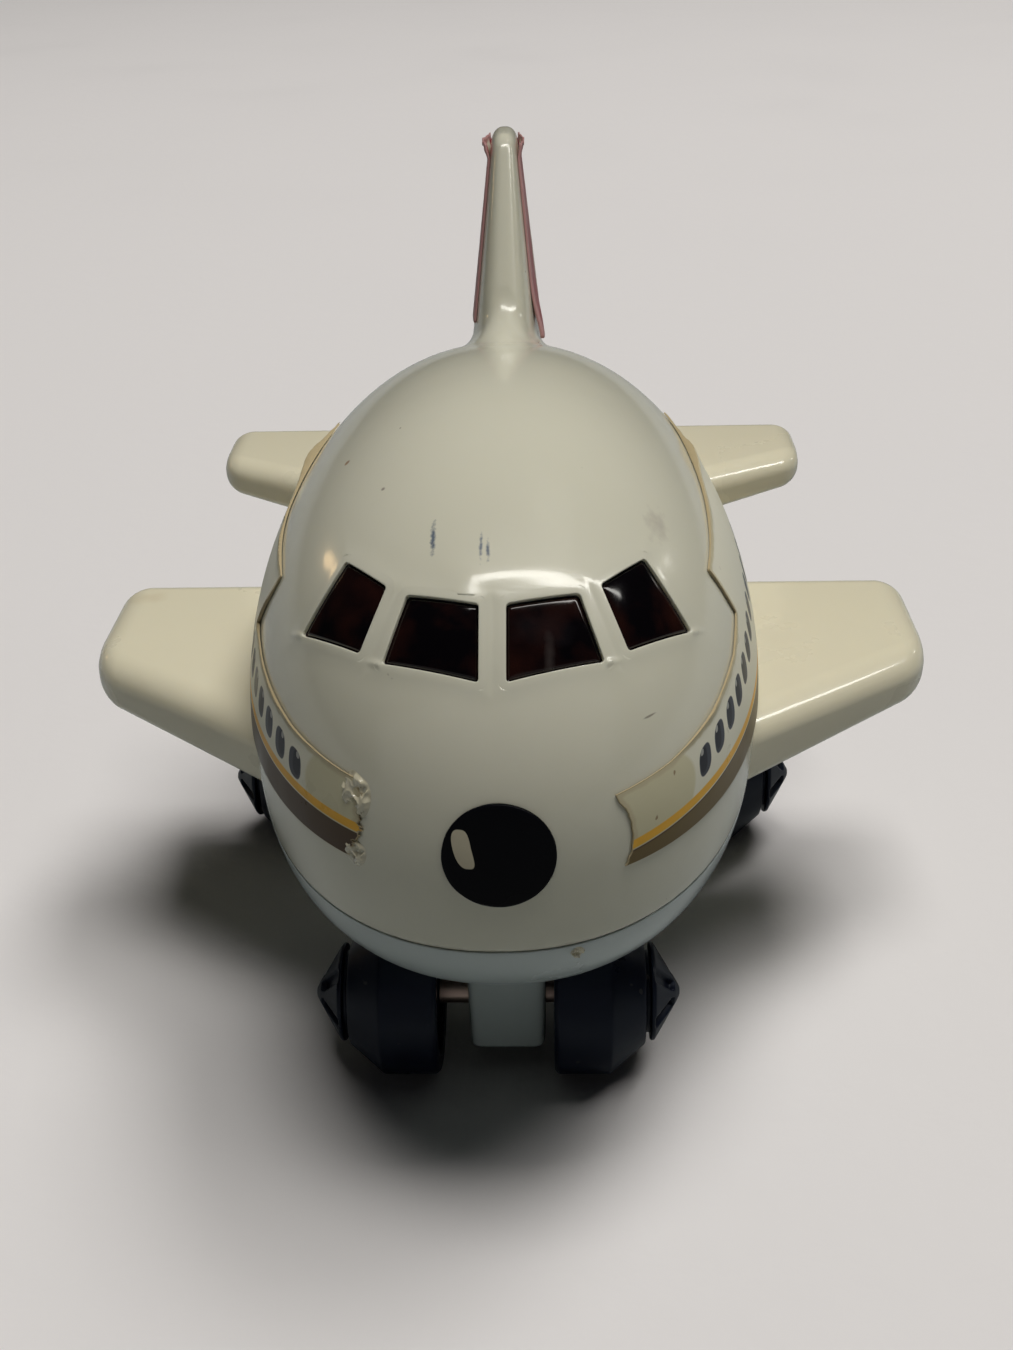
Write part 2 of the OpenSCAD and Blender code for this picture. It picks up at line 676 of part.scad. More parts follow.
module lower_hull() {
    tongue_d = wall / 2 + seat;
    tongue_z = seam_z + tongue_h;
    boss_r = post_r + 0.3;
    color(hull_white) difference() {
        union() {
            skin(concat(backward(belly_rings(wall, 6, tongue_z)),
                [skin_ring(tongue_z, tongue_d), skin_ring(seam_z, tongue_d)],
                belly_rings(0, 8, seam_z)));
            nose_strut();
            intersection() {
                egg(wall / 2);
                union() {
                    for (y = screw_places) translate([0, y, belly_z])
                        cylinder(h = post_low_z - seat - belly_z, r = boss_r, $fn = fine_fn);
                    for (e = [[case_front - ear_l, ear_l], [case_back, rear_ear_l]])
                        translate([-ear_half_w, e[0], belly_z]) cube([2 * ear_half_w, e[1], ear_z - belly_z]);
                }
            }
        }
        rod(-2 * strut_half_w, 2 * strut_half_w, front_axle, axle_r + running);
        translate([-case_half_w - opening_gap, case_front - opening_gap, belly_z - 1])
            cube([2 * (case_half_w + opening_gap), case_back - case_front + 2 * opening_gap,
                ear_z - belly_z + 1]);
        mount_hole(seat);
        for (y = screw_places) translate([0, y, belly_z - 1]) {
            cylinder(h = post_low_z, r = screw_r + screw_gap, $fn = round_fn);
            cylinder(h = screw_seat_z(y) - belly_z + 1, r = screw_head_r + head_room, $fn = round_fn);
        }
    }
}

// Wheels: tread, conical shoulder, groove and a ribbed hub cone that hides the axle's end
wheel_w = tread_w + shoulder_w + groove_w + hub_h;
rib_count = 6;

module wheel() {
    edge = 0.35;
    hub_x = tread_w + shoulder_w + groove_w;
    groove_r = hub_r - 0.8;
    cone_r = 1.2;
    tip_r = 0.7;
    rim_r = 5.4;
    well_r = 2.6;
    well_l = 3;
    pocket_w = 1;
    pocket_low = 1.9;
    difference() {
        rotate([90, 0, 90]) rotate_extrude($fn = fine_fn)
            polygon([[0, 0], [wheel_r - edge, 0], [wheel_r, edge], [wheel_r, tread_w - edge],
                [wheel_r - edge, tread_w], [hub_r + 0.3, hub_x - groove_w], [groove_r, hub_x - groove_w],
                [groove_r, hub_x], [hub_r, hub_x], [cone_r, wheel_w - 0.45], [tip_r, wheel_w - 0.1],
                [0, wheel_w]]);
        translate([-over, 0, 0]) rotate([90, 0, 90]) difference() {
            cylinder(h = well_l + over, r = rim_r, $fn = fine_fn);
            cylinder(h = well_l + over, r = well_r, $fn = fine_fn);
        }
        rod(-over, axle_seat, [0, 0], axle_r);
        for (i = [0 : rib_count - 1]) rotate([360 * i / rib_count, 0, 0])
            translate([hub_x + pocket_w / 2, -pocket_w / 2, pocket_low]) cube([hub_h, pocket_w, hub_r]);
    }
}

module wheel_pair(at, face_x, shift, side) {
    translate([shift, at[0], at[1]]) mirror([side < 0 ? 1 : 0, 0, 0]) translate([face_x, 0, 0]) wheel();
}

module front_wheel_left() { color(black) wheel_pair(front_axle, front_face_x, front_shift, -1); }
module front_wheel_right() { color(black) wheel_pair(front_axle, front_face_x, front_shift, 1); }
module rear_wheel_left() { color(black) wheel_pair(rear_axle_at, rear_face_x, rear_shift, -1); }
module rear_wheel_right() { color(black) wheel_pair(rear_axle_at, rear_face_x, rear_shift, 1); }

module front_axle() {
    l = front_face_x + axle_seat;
    color(steel) rod(front_shift - l, front_shift + l, front_axle, axle_r);
}

module rear_axle() {
    l = rear_face_x + axle_seat;
    color(steel) rod(rear_shift - l, rear_shift + l, rear_axle_at, axle_r);
}

// Stickers on the sides and the fin
side_step = 8;
side_rise_angle = 33;

side_climb = 0.1;
side_columns = 20;

function side_top(a) = a > side_rise_angle ? side_front_z + (side_front_angle - a) * side_climb : side_tall_z;

side_rows = [for (n = [0 : side_columns])
    let (a = side_front_angle - (side_front_angle + side_rear_angle) * n / side_columns)
        [for (i = [side_step : -1 : 0])
            [side_low_z + (side_top(a) - side_low_z) * i / side_step, -a]]];

module side_sticker() {
    patch(backward(side_rows), -sticker_gap - sticker_t, -sticker_gap);
}

module side_sticker_right() { color("#d9d2ba") side_sticker(); }
module side_sticker_left() { color("#d9d2ba") mirror([1, 0, 0]) side_sticker(); }

fin_sticker_rows = [for (i = [0 : 6]) fin_top_z - fin_sticker_drop - fin_sticker_h * i / 6];

// Side surface of the fin at a height and a fraction of the chord
function fin_side(z, f, d) =
    let (s = 2 * f - 1, c = pow(max(0, 1 - pow(abs(s), 2 / fin_end_e)), fin_side_e / 2),
         y0 = fin_lead(z), y1 = fin_trail)
    [fin_half_t(z) * c + d, y0 + (y1 - y0) * f, z];

module fin_sticker() {
    fractions = [for (i = [0 : 8]) fin_sticker_front + (fin_sticker_back - fin_sticker_front) * i / 8];
    skin([for (z = fin_sticker_rows) concat([for (f = fractions) fin_side(z, f, sticker_gap + sticker_t)],
        [for (f = backward(fractions)) fin_side(z, f, sticker_gap)])]);
}

module fin_sticker_right() { color("#a8232b") fin_sticker(); }
module fin_sticker_left() { color("#a8232b") mirror([1, 0, 0]) fin_sticker(); }

upper_shell();
lower_hull();
cockpit_glazing();
nose_disc();
wing_left();
wing_right();
tailplane_left();
tailplane_right();
side_sticker_left();
side_sticker_right();
fin_sticker_left();
fin_sticker_right();
front_axle();
front_wheel_left();
front_wheel_right();
rear_axle();
rear_wheel_left();
rear_wheel_right();
drive_gear();
gear_cluster_1();
shaft_1();
gear_cluster_2();
shaft_2();
flywheel_pinion();
flywheel_shaft();
flywheel();
motor_case_left();
motor_case_right();
motor_screw_lower();
motor_screw_upper();
mount_screw();
hull_screw_front();
hull_screw_rear();
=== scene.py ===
import math

import bpy
import numpy as np
from mathutils import Matrix, Vector


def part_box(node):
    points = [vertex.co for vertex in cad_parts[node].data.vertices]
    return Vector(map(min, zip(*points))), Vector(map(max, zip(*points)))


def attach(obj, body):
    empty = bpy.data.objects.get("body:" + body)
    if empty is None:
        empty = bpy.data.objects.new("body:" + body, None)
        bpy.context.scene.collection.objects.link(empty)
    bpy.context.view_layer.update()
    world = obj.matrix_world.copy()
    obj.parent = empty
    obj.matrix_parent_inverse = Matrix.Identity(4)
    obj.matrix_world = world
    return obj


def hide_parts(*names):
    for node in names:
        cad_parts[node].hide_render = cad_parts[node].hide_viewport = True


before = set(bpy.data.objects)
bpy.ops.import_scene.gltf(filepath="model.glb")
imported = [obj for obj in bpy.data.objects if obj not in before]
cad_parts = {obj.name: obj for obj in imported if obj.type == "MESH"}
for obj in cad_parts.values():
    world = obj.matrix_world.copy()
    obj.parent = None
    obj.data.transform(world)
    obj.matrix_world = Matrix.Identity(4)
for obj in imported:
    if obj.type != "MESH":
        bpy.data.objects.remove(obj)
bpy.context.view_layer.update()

# Camera
# A telephone's main lens held a hand's length in front of the toy, looking down on it. It stands in
# millimetres from the toy's middle, and its roll is the small tilt of the hand.
MM = 0.001
FRAME_H, FOCAL_PX, FILM_W = 1350, 1500, 36.0
CAMERA_AT = (4.05, -118.5, 96.3)
CAMERA_TURN, CAMERA_PITCH, CAMERA_ROLL = math.radians(2.0), math.radians(30.0), math.radians(-1.5)

scene = bpy.context.scene
camera_data = bpy.data.cameras.new("camera")
camera_data.sensor_fit = "AUTO"
camera_data.sensor_width = FILM_W
camera_data.lens = FILM_W * FOCAL_PX / FRAME_H
camera_data.clip_start, camera_data.clip_end = 0.005, 10.0
camera = bpy.data.objects.new("camera", camera_data)
scene.collection.objects.link(camera)
forward = Vector((-math.sin(CAMERA_TURN) * math.cos(CAMERA_PITCH),
                  math.cos(CAMERA_TURN) * math.cos(CAMERA_PITCH), -math.sin(CAMERA_PITCH)))
aim = forward.to_track_quat("-Z", "Y").to_matrix().to_4x4()
camera.matrix_world = Matrix.Translation(Vector(CAMERA_AT) * MM) @ aim @ Matrix.Rotation(CAMERA_ROLL, 4, "Z")
scene.camera = camera

# Light
# Soft lamps under the ceiling, most of them to the right and behind, so that the front and the left
# lie in shade. Glossy plastic also mirrors a long lamp overhead, two low ones behind the toy, and a dim
# wall in front: seven panels in one place, each larger than the last, so that its edge fades away.
LAMPS = [
    # name, place, size, watts, colour, what it lights
    ("overhead", (0.0, 0.0, 2.4), (0.75, 0.75), 18.6, (1.0, 0.985, 0.965), "surfaces"),
    ("right", (0.75, 0.0, 2.25), (0.75, 0.75), 12.4, (1.0, 0.985, 0.965), "surfaces"),
    ("right_back", (0.75, 0.75, 2.25), (0.75, 0.75), 18.2, (1.0, 0.99, 0.975), "surfaces"),
    ("long_lamp", (0.44, -0.05, 1.2), (1.44, 0.13), 6.3, (1.0, 0.98, 0.93), "reflections"),
    ("low_left", (-1.21, 0.82, 0.39), (0.07, 0.09), 0.13, (1.0, 0.68, 0.34), "reflections"),
    ("low_right", (1.23, 0.73, 0.48), (0.07, 0.1), 0.15, (1.0, 0.96, 0.88), "reflections"),
]
LAMPS += [(f"front_wall_{n}", (0.0, -2.3, 0.85), (1.2 * n, 0.3 * n), 0.22 * n * n, (1.0, 0.98, 0.95),
           "reflections") for n in range(1, 8)]
LONG_SIDE = Vector((1, 0.2, 0))
for name, place, (wide, deep), watts, colour, use in LAMPS:
    lamp_data = bpy.data.lights.new(name, "AREA")
    lamp_data.shape = "RECTANGLE"
    lamp_data.size, lamp_data.size_y = wide, deep
    lamp_data.energy = watts
    lamp_data.color = colour
    lamp = bpy.data.objects.new(name, lamp_data)
    away = Vector(place).normalized()
    across = (LONG_SIDE - away * LONG_SIDE.dot(away)).normalized()
    facing = Matrix((across, away.cross(across), away)).transposed()
    lamp.matrix_world = Matrix.Translation(place) @ facing.to_4x4()
    lamp.visible_glossy = use == "reflections"
    lamp.visible_diffuse = use == "surfaces"
    scene.collection.objects.link(lamp)

# The room is almost dark, and only the camera sees its pale backdrop.
room = bpy.data.worlds.new("room")
scene.world = room
room.use_nodes = True
room_nodes, room_links = room.node_tree.nodes, room.node_tree.links
dim, pale = [room_nodes.new("ShaderNodeBackground") for _ in range(2)]
dim.inputs["Color"].default_value = (0.84, 0.87, 0.92, 1)
dim.inputs["Strength"].default_value = 0.01
pale.inputs["Color"].default_value = (0.60, 0.575, 0.56, 1)
choice = room_nodes.new("ShaderNodeMixShader")
seen = room_nodes.new("ShaderNodeLightPath").outputs["Is Camera Ray"]
for socket, source in enumerate((seen, dim.outputs[0], pale.outputs[0])):
    room_links.new(source, choice.inputs[socket])
room_links.new(choice.outputs[0], room_nodes["World Output"].inputs["Surface"])
scene.view_settings.view_transform = "Standard"


# Surface marks
# What handling leaves on every moulded piece: cloudy polish that changes the gloss, and fine specks.
# The arithmetic of its material, and of all the others, is written with amounts.
class Amount:
    """A number that changes over a surface. The signs + - * / **, abs and held make Math nodes for it."""

    def __init__(self, socket):
        self.socket = socket

    def math(self, operation, first, second=0.0):
        """One Math node in this amount's tree; each input is an amount or a number."""
        node = self.socket.id_data.nodes.new("ShaderNodeMath")
        node.operation = operation
        give(node.inputs[0], first)
        give(node.inputs[1], second)
        return Amount(node.outputs[0])

    def __add__(self, other):
        return self.math("ADD", self, other)

    def __sub__(self, other):
        return self.math("SUBTRACT", self, other)

    def __rsub__(self, other):
        return self.math("SUBTRACT", other, self)

    def __mul__(self, other):
        return self.math("MULTIPLY", self, other)

    def __truediv__(self, other):
        return self.math("DIVIDE", self, other)

    def __pow__(self, power):
        return self.math("POWER", self, power)

    def __abs__(self):
        return self.math("ABSOLUTE", self)

    def held(self):
        """The amount, held between 0 and 1."""
        self.socket.node.use_clamp = True
        return self

    def mapped(self, low, high, at_low, at_high):
        """An amount that goes from at_low to at_high while this one goes from low to high."""
        node = self.socket.id_data.nodes.new("ShaderNodeMapRange")
        give(node.inputs["Value"], self)
        for name, value in (("From Min", low), ("From Max", high), ("To Min", at_low), ("To Max", at_high)):
            node.inputs[name].default_value = value
        return Amount(node.outputs["Result"])


def give(socket, value):
    """Links an amount or a socket into a node's socket, or stores a number or a colour triple there."""
    if isinstance(value, Amount):
        value = value.socket
    if isinstance(value, bpy.types.NodeSocket):
        socket.id_data.links.new(value, socket)
    else:
        socket.default_value = (*value, 1) if isinstance(value, tuple) else value


def noise(tree, scale, detail=2.0):
    """Noise over the piece, as an amount; its scale is a number or an amount."""
    texture = tree.nodes.new("ShaderNodeTexNoise")
    give(texture.inputs["Vector"], tree.nodes.new("ShaderNodeTexCoord").outputs["Object"])
    give(texture.inputs["Scale"], scale)
    give(texture.inputs["Detail"], detail)
    return Amount(texture.outputs["Fac"])


def mix_colour(mask, under, over, blend="MIX"):
    """Colour that changes from under to over with a mask; each colour is a socket or a triple."""
    node = mask.socket.id_data.nodes.new("ShaderNodeMix")
    node.data_type = "RGBA"
    node.blend_type = blend
    for socket, value in ((0, mask), (6, under), (7, over)):
        give(node.inputs[socket], value)
    return node.outputs[2]


def shader_of(material):
    """The sockets of a material's Principled BSDF."""
    return material.node_tree.nodes["Principled BSDF"].inputs


def paint(material, mask, colour, blend="MIX"):
    """Lays a colour over the material's own wherever the mask is 1."""
    base = shader_of(material)["Base Color"]
    give(base, mix_colour(mask, base.links[0].from_socket, colour, blend))


def marks_group():
    """Node group of three noises: clouds, specks where the second passes a limit, and a fine height."""
    group = bpy.data.node_groups.new("handling_marks", "ShaderNodeTree")
    for way, names in (("INPUT", ("Cloud Size", "Speck Limit")), ("OUTPUT", ("Cloud", "Speck", "Height"))):
        for name in names:
            group.interface.new_socket(name, in_out=way, socket_type="NodeSocketFloat")
    speck_size, speck_sharp, height_size = 900.0, 30, 260.0
    into, out = group.nodes.new("NodeGroupInput"), group.nodes.new("NodeGroupOutput")
    speck = noise(group, speck_size, detail=1)
    give(out.inputs["Cloud"], noise(group, Amount(into.outputs["Cloud Size"]), detail=6))
    give(out.inputs["Speck"], ((speck - Amount(into.outputs["Speck Limit"])) * speck_sharp).held())
    give(out.inputs["Height"], noise(group, height_size, detail=3))
    return group


handling_marks = marks_group()


def place_marks(material, cloud, limit):
    """The marks in a material with its own cloud size and speck limit: three amounts by name."""
    marks = material.node_tree.nodes.new("ShaderNodeGroup")
    marks.node_tree = handling_marks
    marks.inputs["Cloud Size"].default_value = cloud
    marks.inputs["Speck Limit"].default_value = limit
    return {name: Amount(marks.outputs[name]) for name in ("Cloud", "Speck", "Height")}


def moulded(name, colour, tint, speck, rough, coat=0.0, coat_rough=0.05, specular=0.5, metallic=0.0,
            bump=0.03, cloud=120.0, limit=0.78, scatter=0.0):
    """Plastic: colour drifts to tint with the clouds, specks darken it, and the clouds change its gloss."""
    material = bpy.data.materials.new(name)
    material.use_nodes = True
    shader = shader_of(material)
    marks = place_marks(material, cloud, limit)
    give(shader["Base Color"], mix_colour(marks["Speck"], mix_colour(marks["Cloud"], colour, tint), speck))
    give(shader["Roughness"], marks["Cloud"].mapped(0.3, 0.7, rough * 0.8, rough * 1.3))
    relief = material.node_tree.nodes.new("ShaderNodeBump")
    relief.inputs["Strength"].default_value = bump
    relief.inputs["Distance"].default_value = 0.4 * MM
    give(relief.inputs["Height"], marks["Height"])
    give(shader["Normal"], relief.outputs["Normal"])
    for socket, value in (("Coat Weight", coat), ("Coat Roughness", coat_rough),
                          ("Specular IOR Level", specular), ("Metallic", metallic)):
        shader[socket].default_value = value
    if scatter:
        shader["Subsurface Weight"].default_value = scatter
        shader["Subsurface Radius"].default_value = (0.9, 0.8, 0.6)
        shader["Subsurface Scale"].default_value = 1.5 * MM
    return material


# Paper
# The sheet of pale drawing paper that the toy stands on, running out of view on every side. The camera
# sees it lighter than the toy is lit by it.
SHEET_HALF, PAPER_SEEN = 1.6, (2.34, 2.17, 2.16)


def paper_sheet():
    """Flat square, with a soft mottle and a fine tooth in its material."""
    mesh = bpy.data.meshes.new("paper")
    mesh.from_pydata([(x * SHEET_HALF, y * SHEET_HALF, 0) for x, y in ((-1, -1), (1, -1), (1, 1), (-1, 1))],
                     [], [(0, 1, 2, 3)])
    sheet = bpy.data.objects.new("paper", mesh)
    scene.collection.objects.link(sheet)
    material = moulded("paper", (0.36, 0.376, 0.371), (0.342, 0.356, 0.351), (0.335, 0.349, 0.344), 0.8,
                       specular=0.1, bump=0.25, cloud=14.0, limit=0.9)
    path = material.node_tree.nodes.new("ShaderNodeLightPath")
    paint(material, Amount(path.outputs["Is Camera Ray"]), PAPER_SEEN, "MULTIPLY")
    mesh.materials.append(material)


paper_sheet()

# Upper shell
# The egg-shaped top of the body, with the fin moulded in one with it: glossy ABS, white gone a
# little yellow, with four window pockets that have soft raised frames. It sits on the hull's tongue.
BODY_HALF_W, NOSE_L, TAIL_L = 21.6, 33.8, 38.2
MID_Y, MID_Z = (NOSE_L - TAIL_L) / 2, 31.0
ROOF_H, BELLY_H, ROOF_FULL, BELLY_FULL, PLAN_FULL = 26.0, 17.2, 2.0, 3.0, 2.15
SEAM_Z, SEAM_GAP, SEAM_EDGE_R, WALL = 25.5, 0.06, 0.12, 1.5
SEAM_TURN = np.radians(np.linspace(15, 90, 5))


def signed_power(value, power):
    """A number's size raised to a power, with its sign kept."""
    return np.sign(value) * abs(value) ** power


def level(z, depth=0.0):
    """Share of the plan outline that a level reaches: an ellipse above the middle, fuller below."""
    above = z > MID_Z
    full = np.where(above, ROOF_FULL, BELLY_FULL)
    height = np.where(above, ROOF_H, BELLY_H) - depth
    return np.maximum(0, 1 - np.minimum(1, abs(z - MID_Z) / height) ** full) ** (1 / full)


def plan_sum(x, y):
    """The two terms of the plan's squarish egg outline, which add up to 1 on its widest level."""
    length = np.where(y < MID_Y, NOSE_L, TAIL_L)
    return abs(x / BODY_HALF_W) ** PLAN_FULL + abs((y - MID_Y) / length) ** PLAN_FULL


def body_point(z, angle, depth=0.0):
    """Point of the body at a height and an angle in plan: the plan outline scaled by its level."""
    c, s = np.cos(angle), np.sin(angle)
    k = level(z, depth) * (abs(c) ** PLAN_FULL + abs(s) ** PLAN_FULL) ** (-1 / PLAN_FULL)
    length = np.where(s < 0, NOSE_L, TAIL_L) - depth
    return np.stack([(BODY_HALF_W - depth) * k * c, MID_Y + length * k * s, z + 0 * c], -1)


def body_normal(points):
    """Outward unit normal, the gradient of the body's implicit form."""
    x, y, z = points[..., 0], points[..., 1] - MID_Y, points[..., 2] - MID_Z
    length = np.where(y < 0, NOSE_L, TAIL_L)
    height, full = np.where(z > 0, ROOF_H, BELLY_H), np.where(z > 0, ROOF_FULL, BELLY_FULL)
    pull = (plan_sum(x, points[..., 1]) + 1e-9) ** (full / PLAN_FULL - 1)
    g = np.stack([pull * signed_power(x / BODY_HALF_W, PLAN_FULL - 1) / BODY_HALF_W,
                  pull * signed_power(y / length, PLAN_FULL - 1) / length,
                  signed_power(z / height, full - 1) / height], -1)
    return g / np.linalg.norm(g, axis=-1, keepdims=True)


def ramp(t):
    """Smooth step from 0 to 1."""
    t = np.clip(t, 0, 1)
    return t * t * (3 - 2 * t)


def ripple(u, seed):
    """Smooth seeded wave between about -1 and 1, a sum of five sines of rising frequency."""
    rng = np.random.default_rng(seed)
    rates, starts = rng.uniform(0.4, 1, 5) * 2 ** np.arange(5), rng.uniform(0, 6.3, 5)
    return sum(np.sin(u * rate + start) / (k + 1) for k, (rate, start) in enumerate(zip(rates, starts))) / 1.6


# The windows lie in one plane that leans back over the nose. Places in it are given across and up.
WINDOW_TILT, WINDOW_AT = math.radians(45), (-28.6, 47.0)
INNER_PANE = [(0.95, -2.9), (7.7, -1.1), (6.0, 3.7), (0.95, 2.7)]
OUTER_PANE = [(9.4, -0.1), (14.2, 2.5), (10.8, 7.4), (7.5, 4.6)]
POCKET_DEPTH, CORNER_SHARP, FAR = 1.25, 7, 1e3
FRAME_RISE, FRAME_REACH, FRAME_UNDER, FRAME_LIP, CORNER_R = 0.1, 0.68, 0.42, 0.07, 0.3


def window_place(points):
    """How far across and how far up points lie in the windows' plane."""
    up = ((points[..., 1] - WINDOW_AT[0]) * math.cos(WINDOW_TILT)
          + (points[..., 2] - WINDOW_AT[1]) * math.sin(WINDOW_TILT))
    return points[..., 0], up


def right_of(along):
    """Unit vectors a quarter turn to the right of directions in a plane."""
    return np.stack([along[:, 1], -along[:, 0]], 1) / np.linalg.norm(along, axis=1)[:, None]


def window_distance(points):
    """Distance outside the nearest of the four panes, in the plane they lie in; below 0 inside."""
    u, v = window_place(points)
    nearest = np.full(u.shape, FAR)
    for pane in (INNER_PANE, OUTER_PANE):
        corners = np.array(pane)
        outward = right_of(np.roll(corners, -1, 0) - corners)
        away = ((np.stack([abs(u), v], -1)[..., None, :] - corners) * outward).sum(-1)
        soft = np.log(np.exp(np.clip(away, -8, 8) * CORNER_SHARP).sum(-1)) / CORNER_SHARP
        nearest = np.minimum(nearest, soft)
    return np.where(points[..., 1] < MID_Y, nearest, FAR)


# Start across and up, and slope, of the ridges that the mould leaves at the panes' lower corners.
CREASES, CREASE_H, CREASE_W = [(7.8, -1.15, 0.3), (14.2, 2.5, 0.45)], 0.09, 0.26


def crease_height(points):
    """Small ridges that run out from the lower corners of the panes."""
    u, v = window_place(points)
    total = 0
    for start_u, start_v, slope in CREASES:
        for side in (1, -1):
            along = side * u - start_u
            off = v - start_v - slope * along
            ends = ramp((along + 0.2) / 0.3) * ramp((1.5 - along) / 1.3)
            total = total + CREASE_H * np.exp(-(off / CREASE_W) ** 2) * ends
    return np.where(points[..., 1] < MID_Y, total, 0)


def grid_mesh(points, side=1, wrap=True, start=None, end=None):
    """Points and quads of a grid given row by row, with a fan of triangles at each end that has a pole.

    It is closed round where it wraps, and the left side's is the mirror image of the right side's."""
    rows, columns = points.shape[:2]
    points = points.reshape(-1, 3)
    i, j = np.meshgrid(np.arange(rows - 1), np.arange(columns if wrap else columns - 1), indexing="ij")
    k = (j + 1) % columns
    quads = np.stack([i * columns + j, (i + 1) * columns + j, (i + 1) * columns + k, i * columns + k], -1)
    faces = quads.reshape(-1, 4).tolist()
    here, beside = np.arange(columns), np.roll(np.arange(columns), -1)
    last = (rows - 1) * columns
    for pole, fan in ((start, (here, beside)), (end, (last + beside, last + here))):
        if pole is not None:
            faces += np.stack([np.full(columns, len(points)), *fan], 1).tolist()
            points = np.concatenate([points, [pole]])
    return points * [side, 1, 1], faces if side > 0 else [face[::-1] for face in faces]


def add_piece(name, points, faces, material, slot, replaces=(), body="airframe", uv=None, fields=(),
              normals=None):
    """Makes a smooth mesh object from points in millimetres, hangs it on its body and hides the CAD parts it
    replaces.

    fields are pairs of a name and each point's value, kept as attributes. Where normals are given,
    the mesh is shaded with them, as far as their last number, a weight, says."""
    mesh = bpy.data.meshes.new(name)
    mesh.from_pydata((points * MM).tolist(), [], faces)
    mesh.polygons.foreach_set("use_smooth", [True] * len(mesh.polygons))
    if uv is not None:
        layer = mesh.uv_layers.new(name="UVMap")
        loops = np.zeros(len(mesh.loops), dtype=np.int32)
        mesh.loops.foreach_get("vertex_index", loops)
        layer.data.foreach_set("uv", uv[loops].ravel())
    for field, values in fields:
        mesh.attributes.new(field, "FLOAT", "POINT").data.foreach_set("value", values.ravel())
    mesh.materials.append(material)
    mesh.update()
    if normals is not None:
        own = np.zeros(len(mesh.vertices) * 3, dtype=np.float32)
        mesh.vertex_normals.foreach_get("vector", own)
        own, given = own.reshape(-1, 3), normals.reshape(-1, 4)
        blend = own * (1 - given[:, 3:]) + given[:, :3] * given[:, 3:]
        blend = blend / np.linalg.norm(blend, axis=1, keepdims=True)
        mesh.normals_split_custom_set_from_vertices(blend.tolist())
    piece = bpy.data.objects.new(name, mesh)
    scene.collection.objects.link(piece)
    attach(piece, body)
    if replaces:
        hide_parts(*replaces)
    return piece


# The brow is a long low ridge above the windows: its level in the middle and how it bends down.
BROW_Z, BROW_MID, BROW_BEND, BROW_H, BROW_W = 50.2, 0.6, 0.02, 0.13, 1.05
BROW_LEFT, BROW_RIGHT, BROW_FADE = -5.0, 8.5, 3


def surface_height(points, gap):
    """How far the skin stands off the plain egg: soft frames round the panes, a brow and creases."""
    x, y, z = points[..., 0], points[..., 1], points[..., 2]
    below_brow = (BROW_Z - BROW_BEND * (x - BROW_MID) ** 2 - z) / BROW_W
    ends = ramp((x - BROW_LEFT) / BROW_FADE) * ramp((BROW_RIGHT - x) / BROW_FADE)
    brow = BROW_H * np.exp(-below_brow ** 2) * ends * (y < MID_Y)
    return FRAME_RISE * np.exp(-np.maximum(gap, 0) ** 2) + brow + crease_height(points)


def shell_grid():
    """Rings from the roof's pole to the seam, over its rounded edge, and back inside to the roof.

    Columns and rings lie close together round the windows."""
    first, last = 214, 326
    angle = np.concatenate([np.linspace(first, last, 350), np.linspace(last, first + 360, 130)[1:-1]])
    top = MID_Z + ROOF_H * np.cos(np.radians(np.linspace(1.2, 39.2, 26)))
    below_windows, lowest = 43.0, SEAM_Z + 0.4
    outer = np.concatenate([top, np.linspace(top[-1], below_windows, 92)[1:],
                            np.linspace(below_windows, lowest, 40)[1:]])
    low = SEAM_Z + SEAM_GAP
    heights = np.concatenate([outer, low + SEAM_EDGE_R * (1 - np.sin(SEAM_TURN)), [low],
                              np.linspace(SEAM_Z + 3, MID_Z + ROOF_H - WALL - 0.2, 12)])
    depths = np.concatenate([0 * outer, SEAM_EDGE_R * (1 - np.cos(SEAM_TURN)), np.full(13, WALL)])
    z, a = np.meshgrid(heights, np.radians(angle), indexing="ij")
    surface = (np.arange(len(heights)) < len(outer))[:, None]
    points = body_point(z, a, depths[:, None])
    gap = window_distance(points)
    pocket = POCKET_DEPTH * ramp((FRAME_UNDER - gap) / 0.16)
    push = np.where(surface, surface_height(points, gap) - pocket, 0)
    points = points + body_normal(points) * push[..., None]
    return grid_mesh(points, start=(0, MID_Y, MID_Z + ROOF_H), end=(0, MID_Y, MID_Z + ROOF_H - WALL))


def corner_curve(before, here, after, radius, steps):
    """Quadratic curve that replaces a corner, between the places a radius away from it."""
    p = here + (before - here) / np.linalg.norm(before - here) * radius
    q = here + (after - here) / np.linalg.norm(after - here) * radius
    t = np.linspace(0, 1, steps)[:, None]
    return (1 - t) ** 2 * p + 2 * t * (1 - t) * here + t ** 2 * q


def rounded_outline(corners, radius, spacing=0.09):
    """Closed line through a polygon with rounded corners, and its outward unit normals."""
    corners = np.array(corners, float)
    line = []
    for before, here, after in zip(np.roll(corners, 1, 0), corners, np.roll(corners, -1, 0)):
        curve = corner_curve(before, here, after, radius, 9)
        straight = after + (here - after) / np.linalg.norm(here - after) * radius - curve[-1]
        n = max(2, int(np.linalg.norm(straight) / spacing))
        line += [curve, curve[-1] + straight * (np.arange(1, n) / n)[:, None]]
    line = np.concatenate(line)
    return line, right_of(np.roll(line, -1, 0) - np.roll(line, 1, 0))


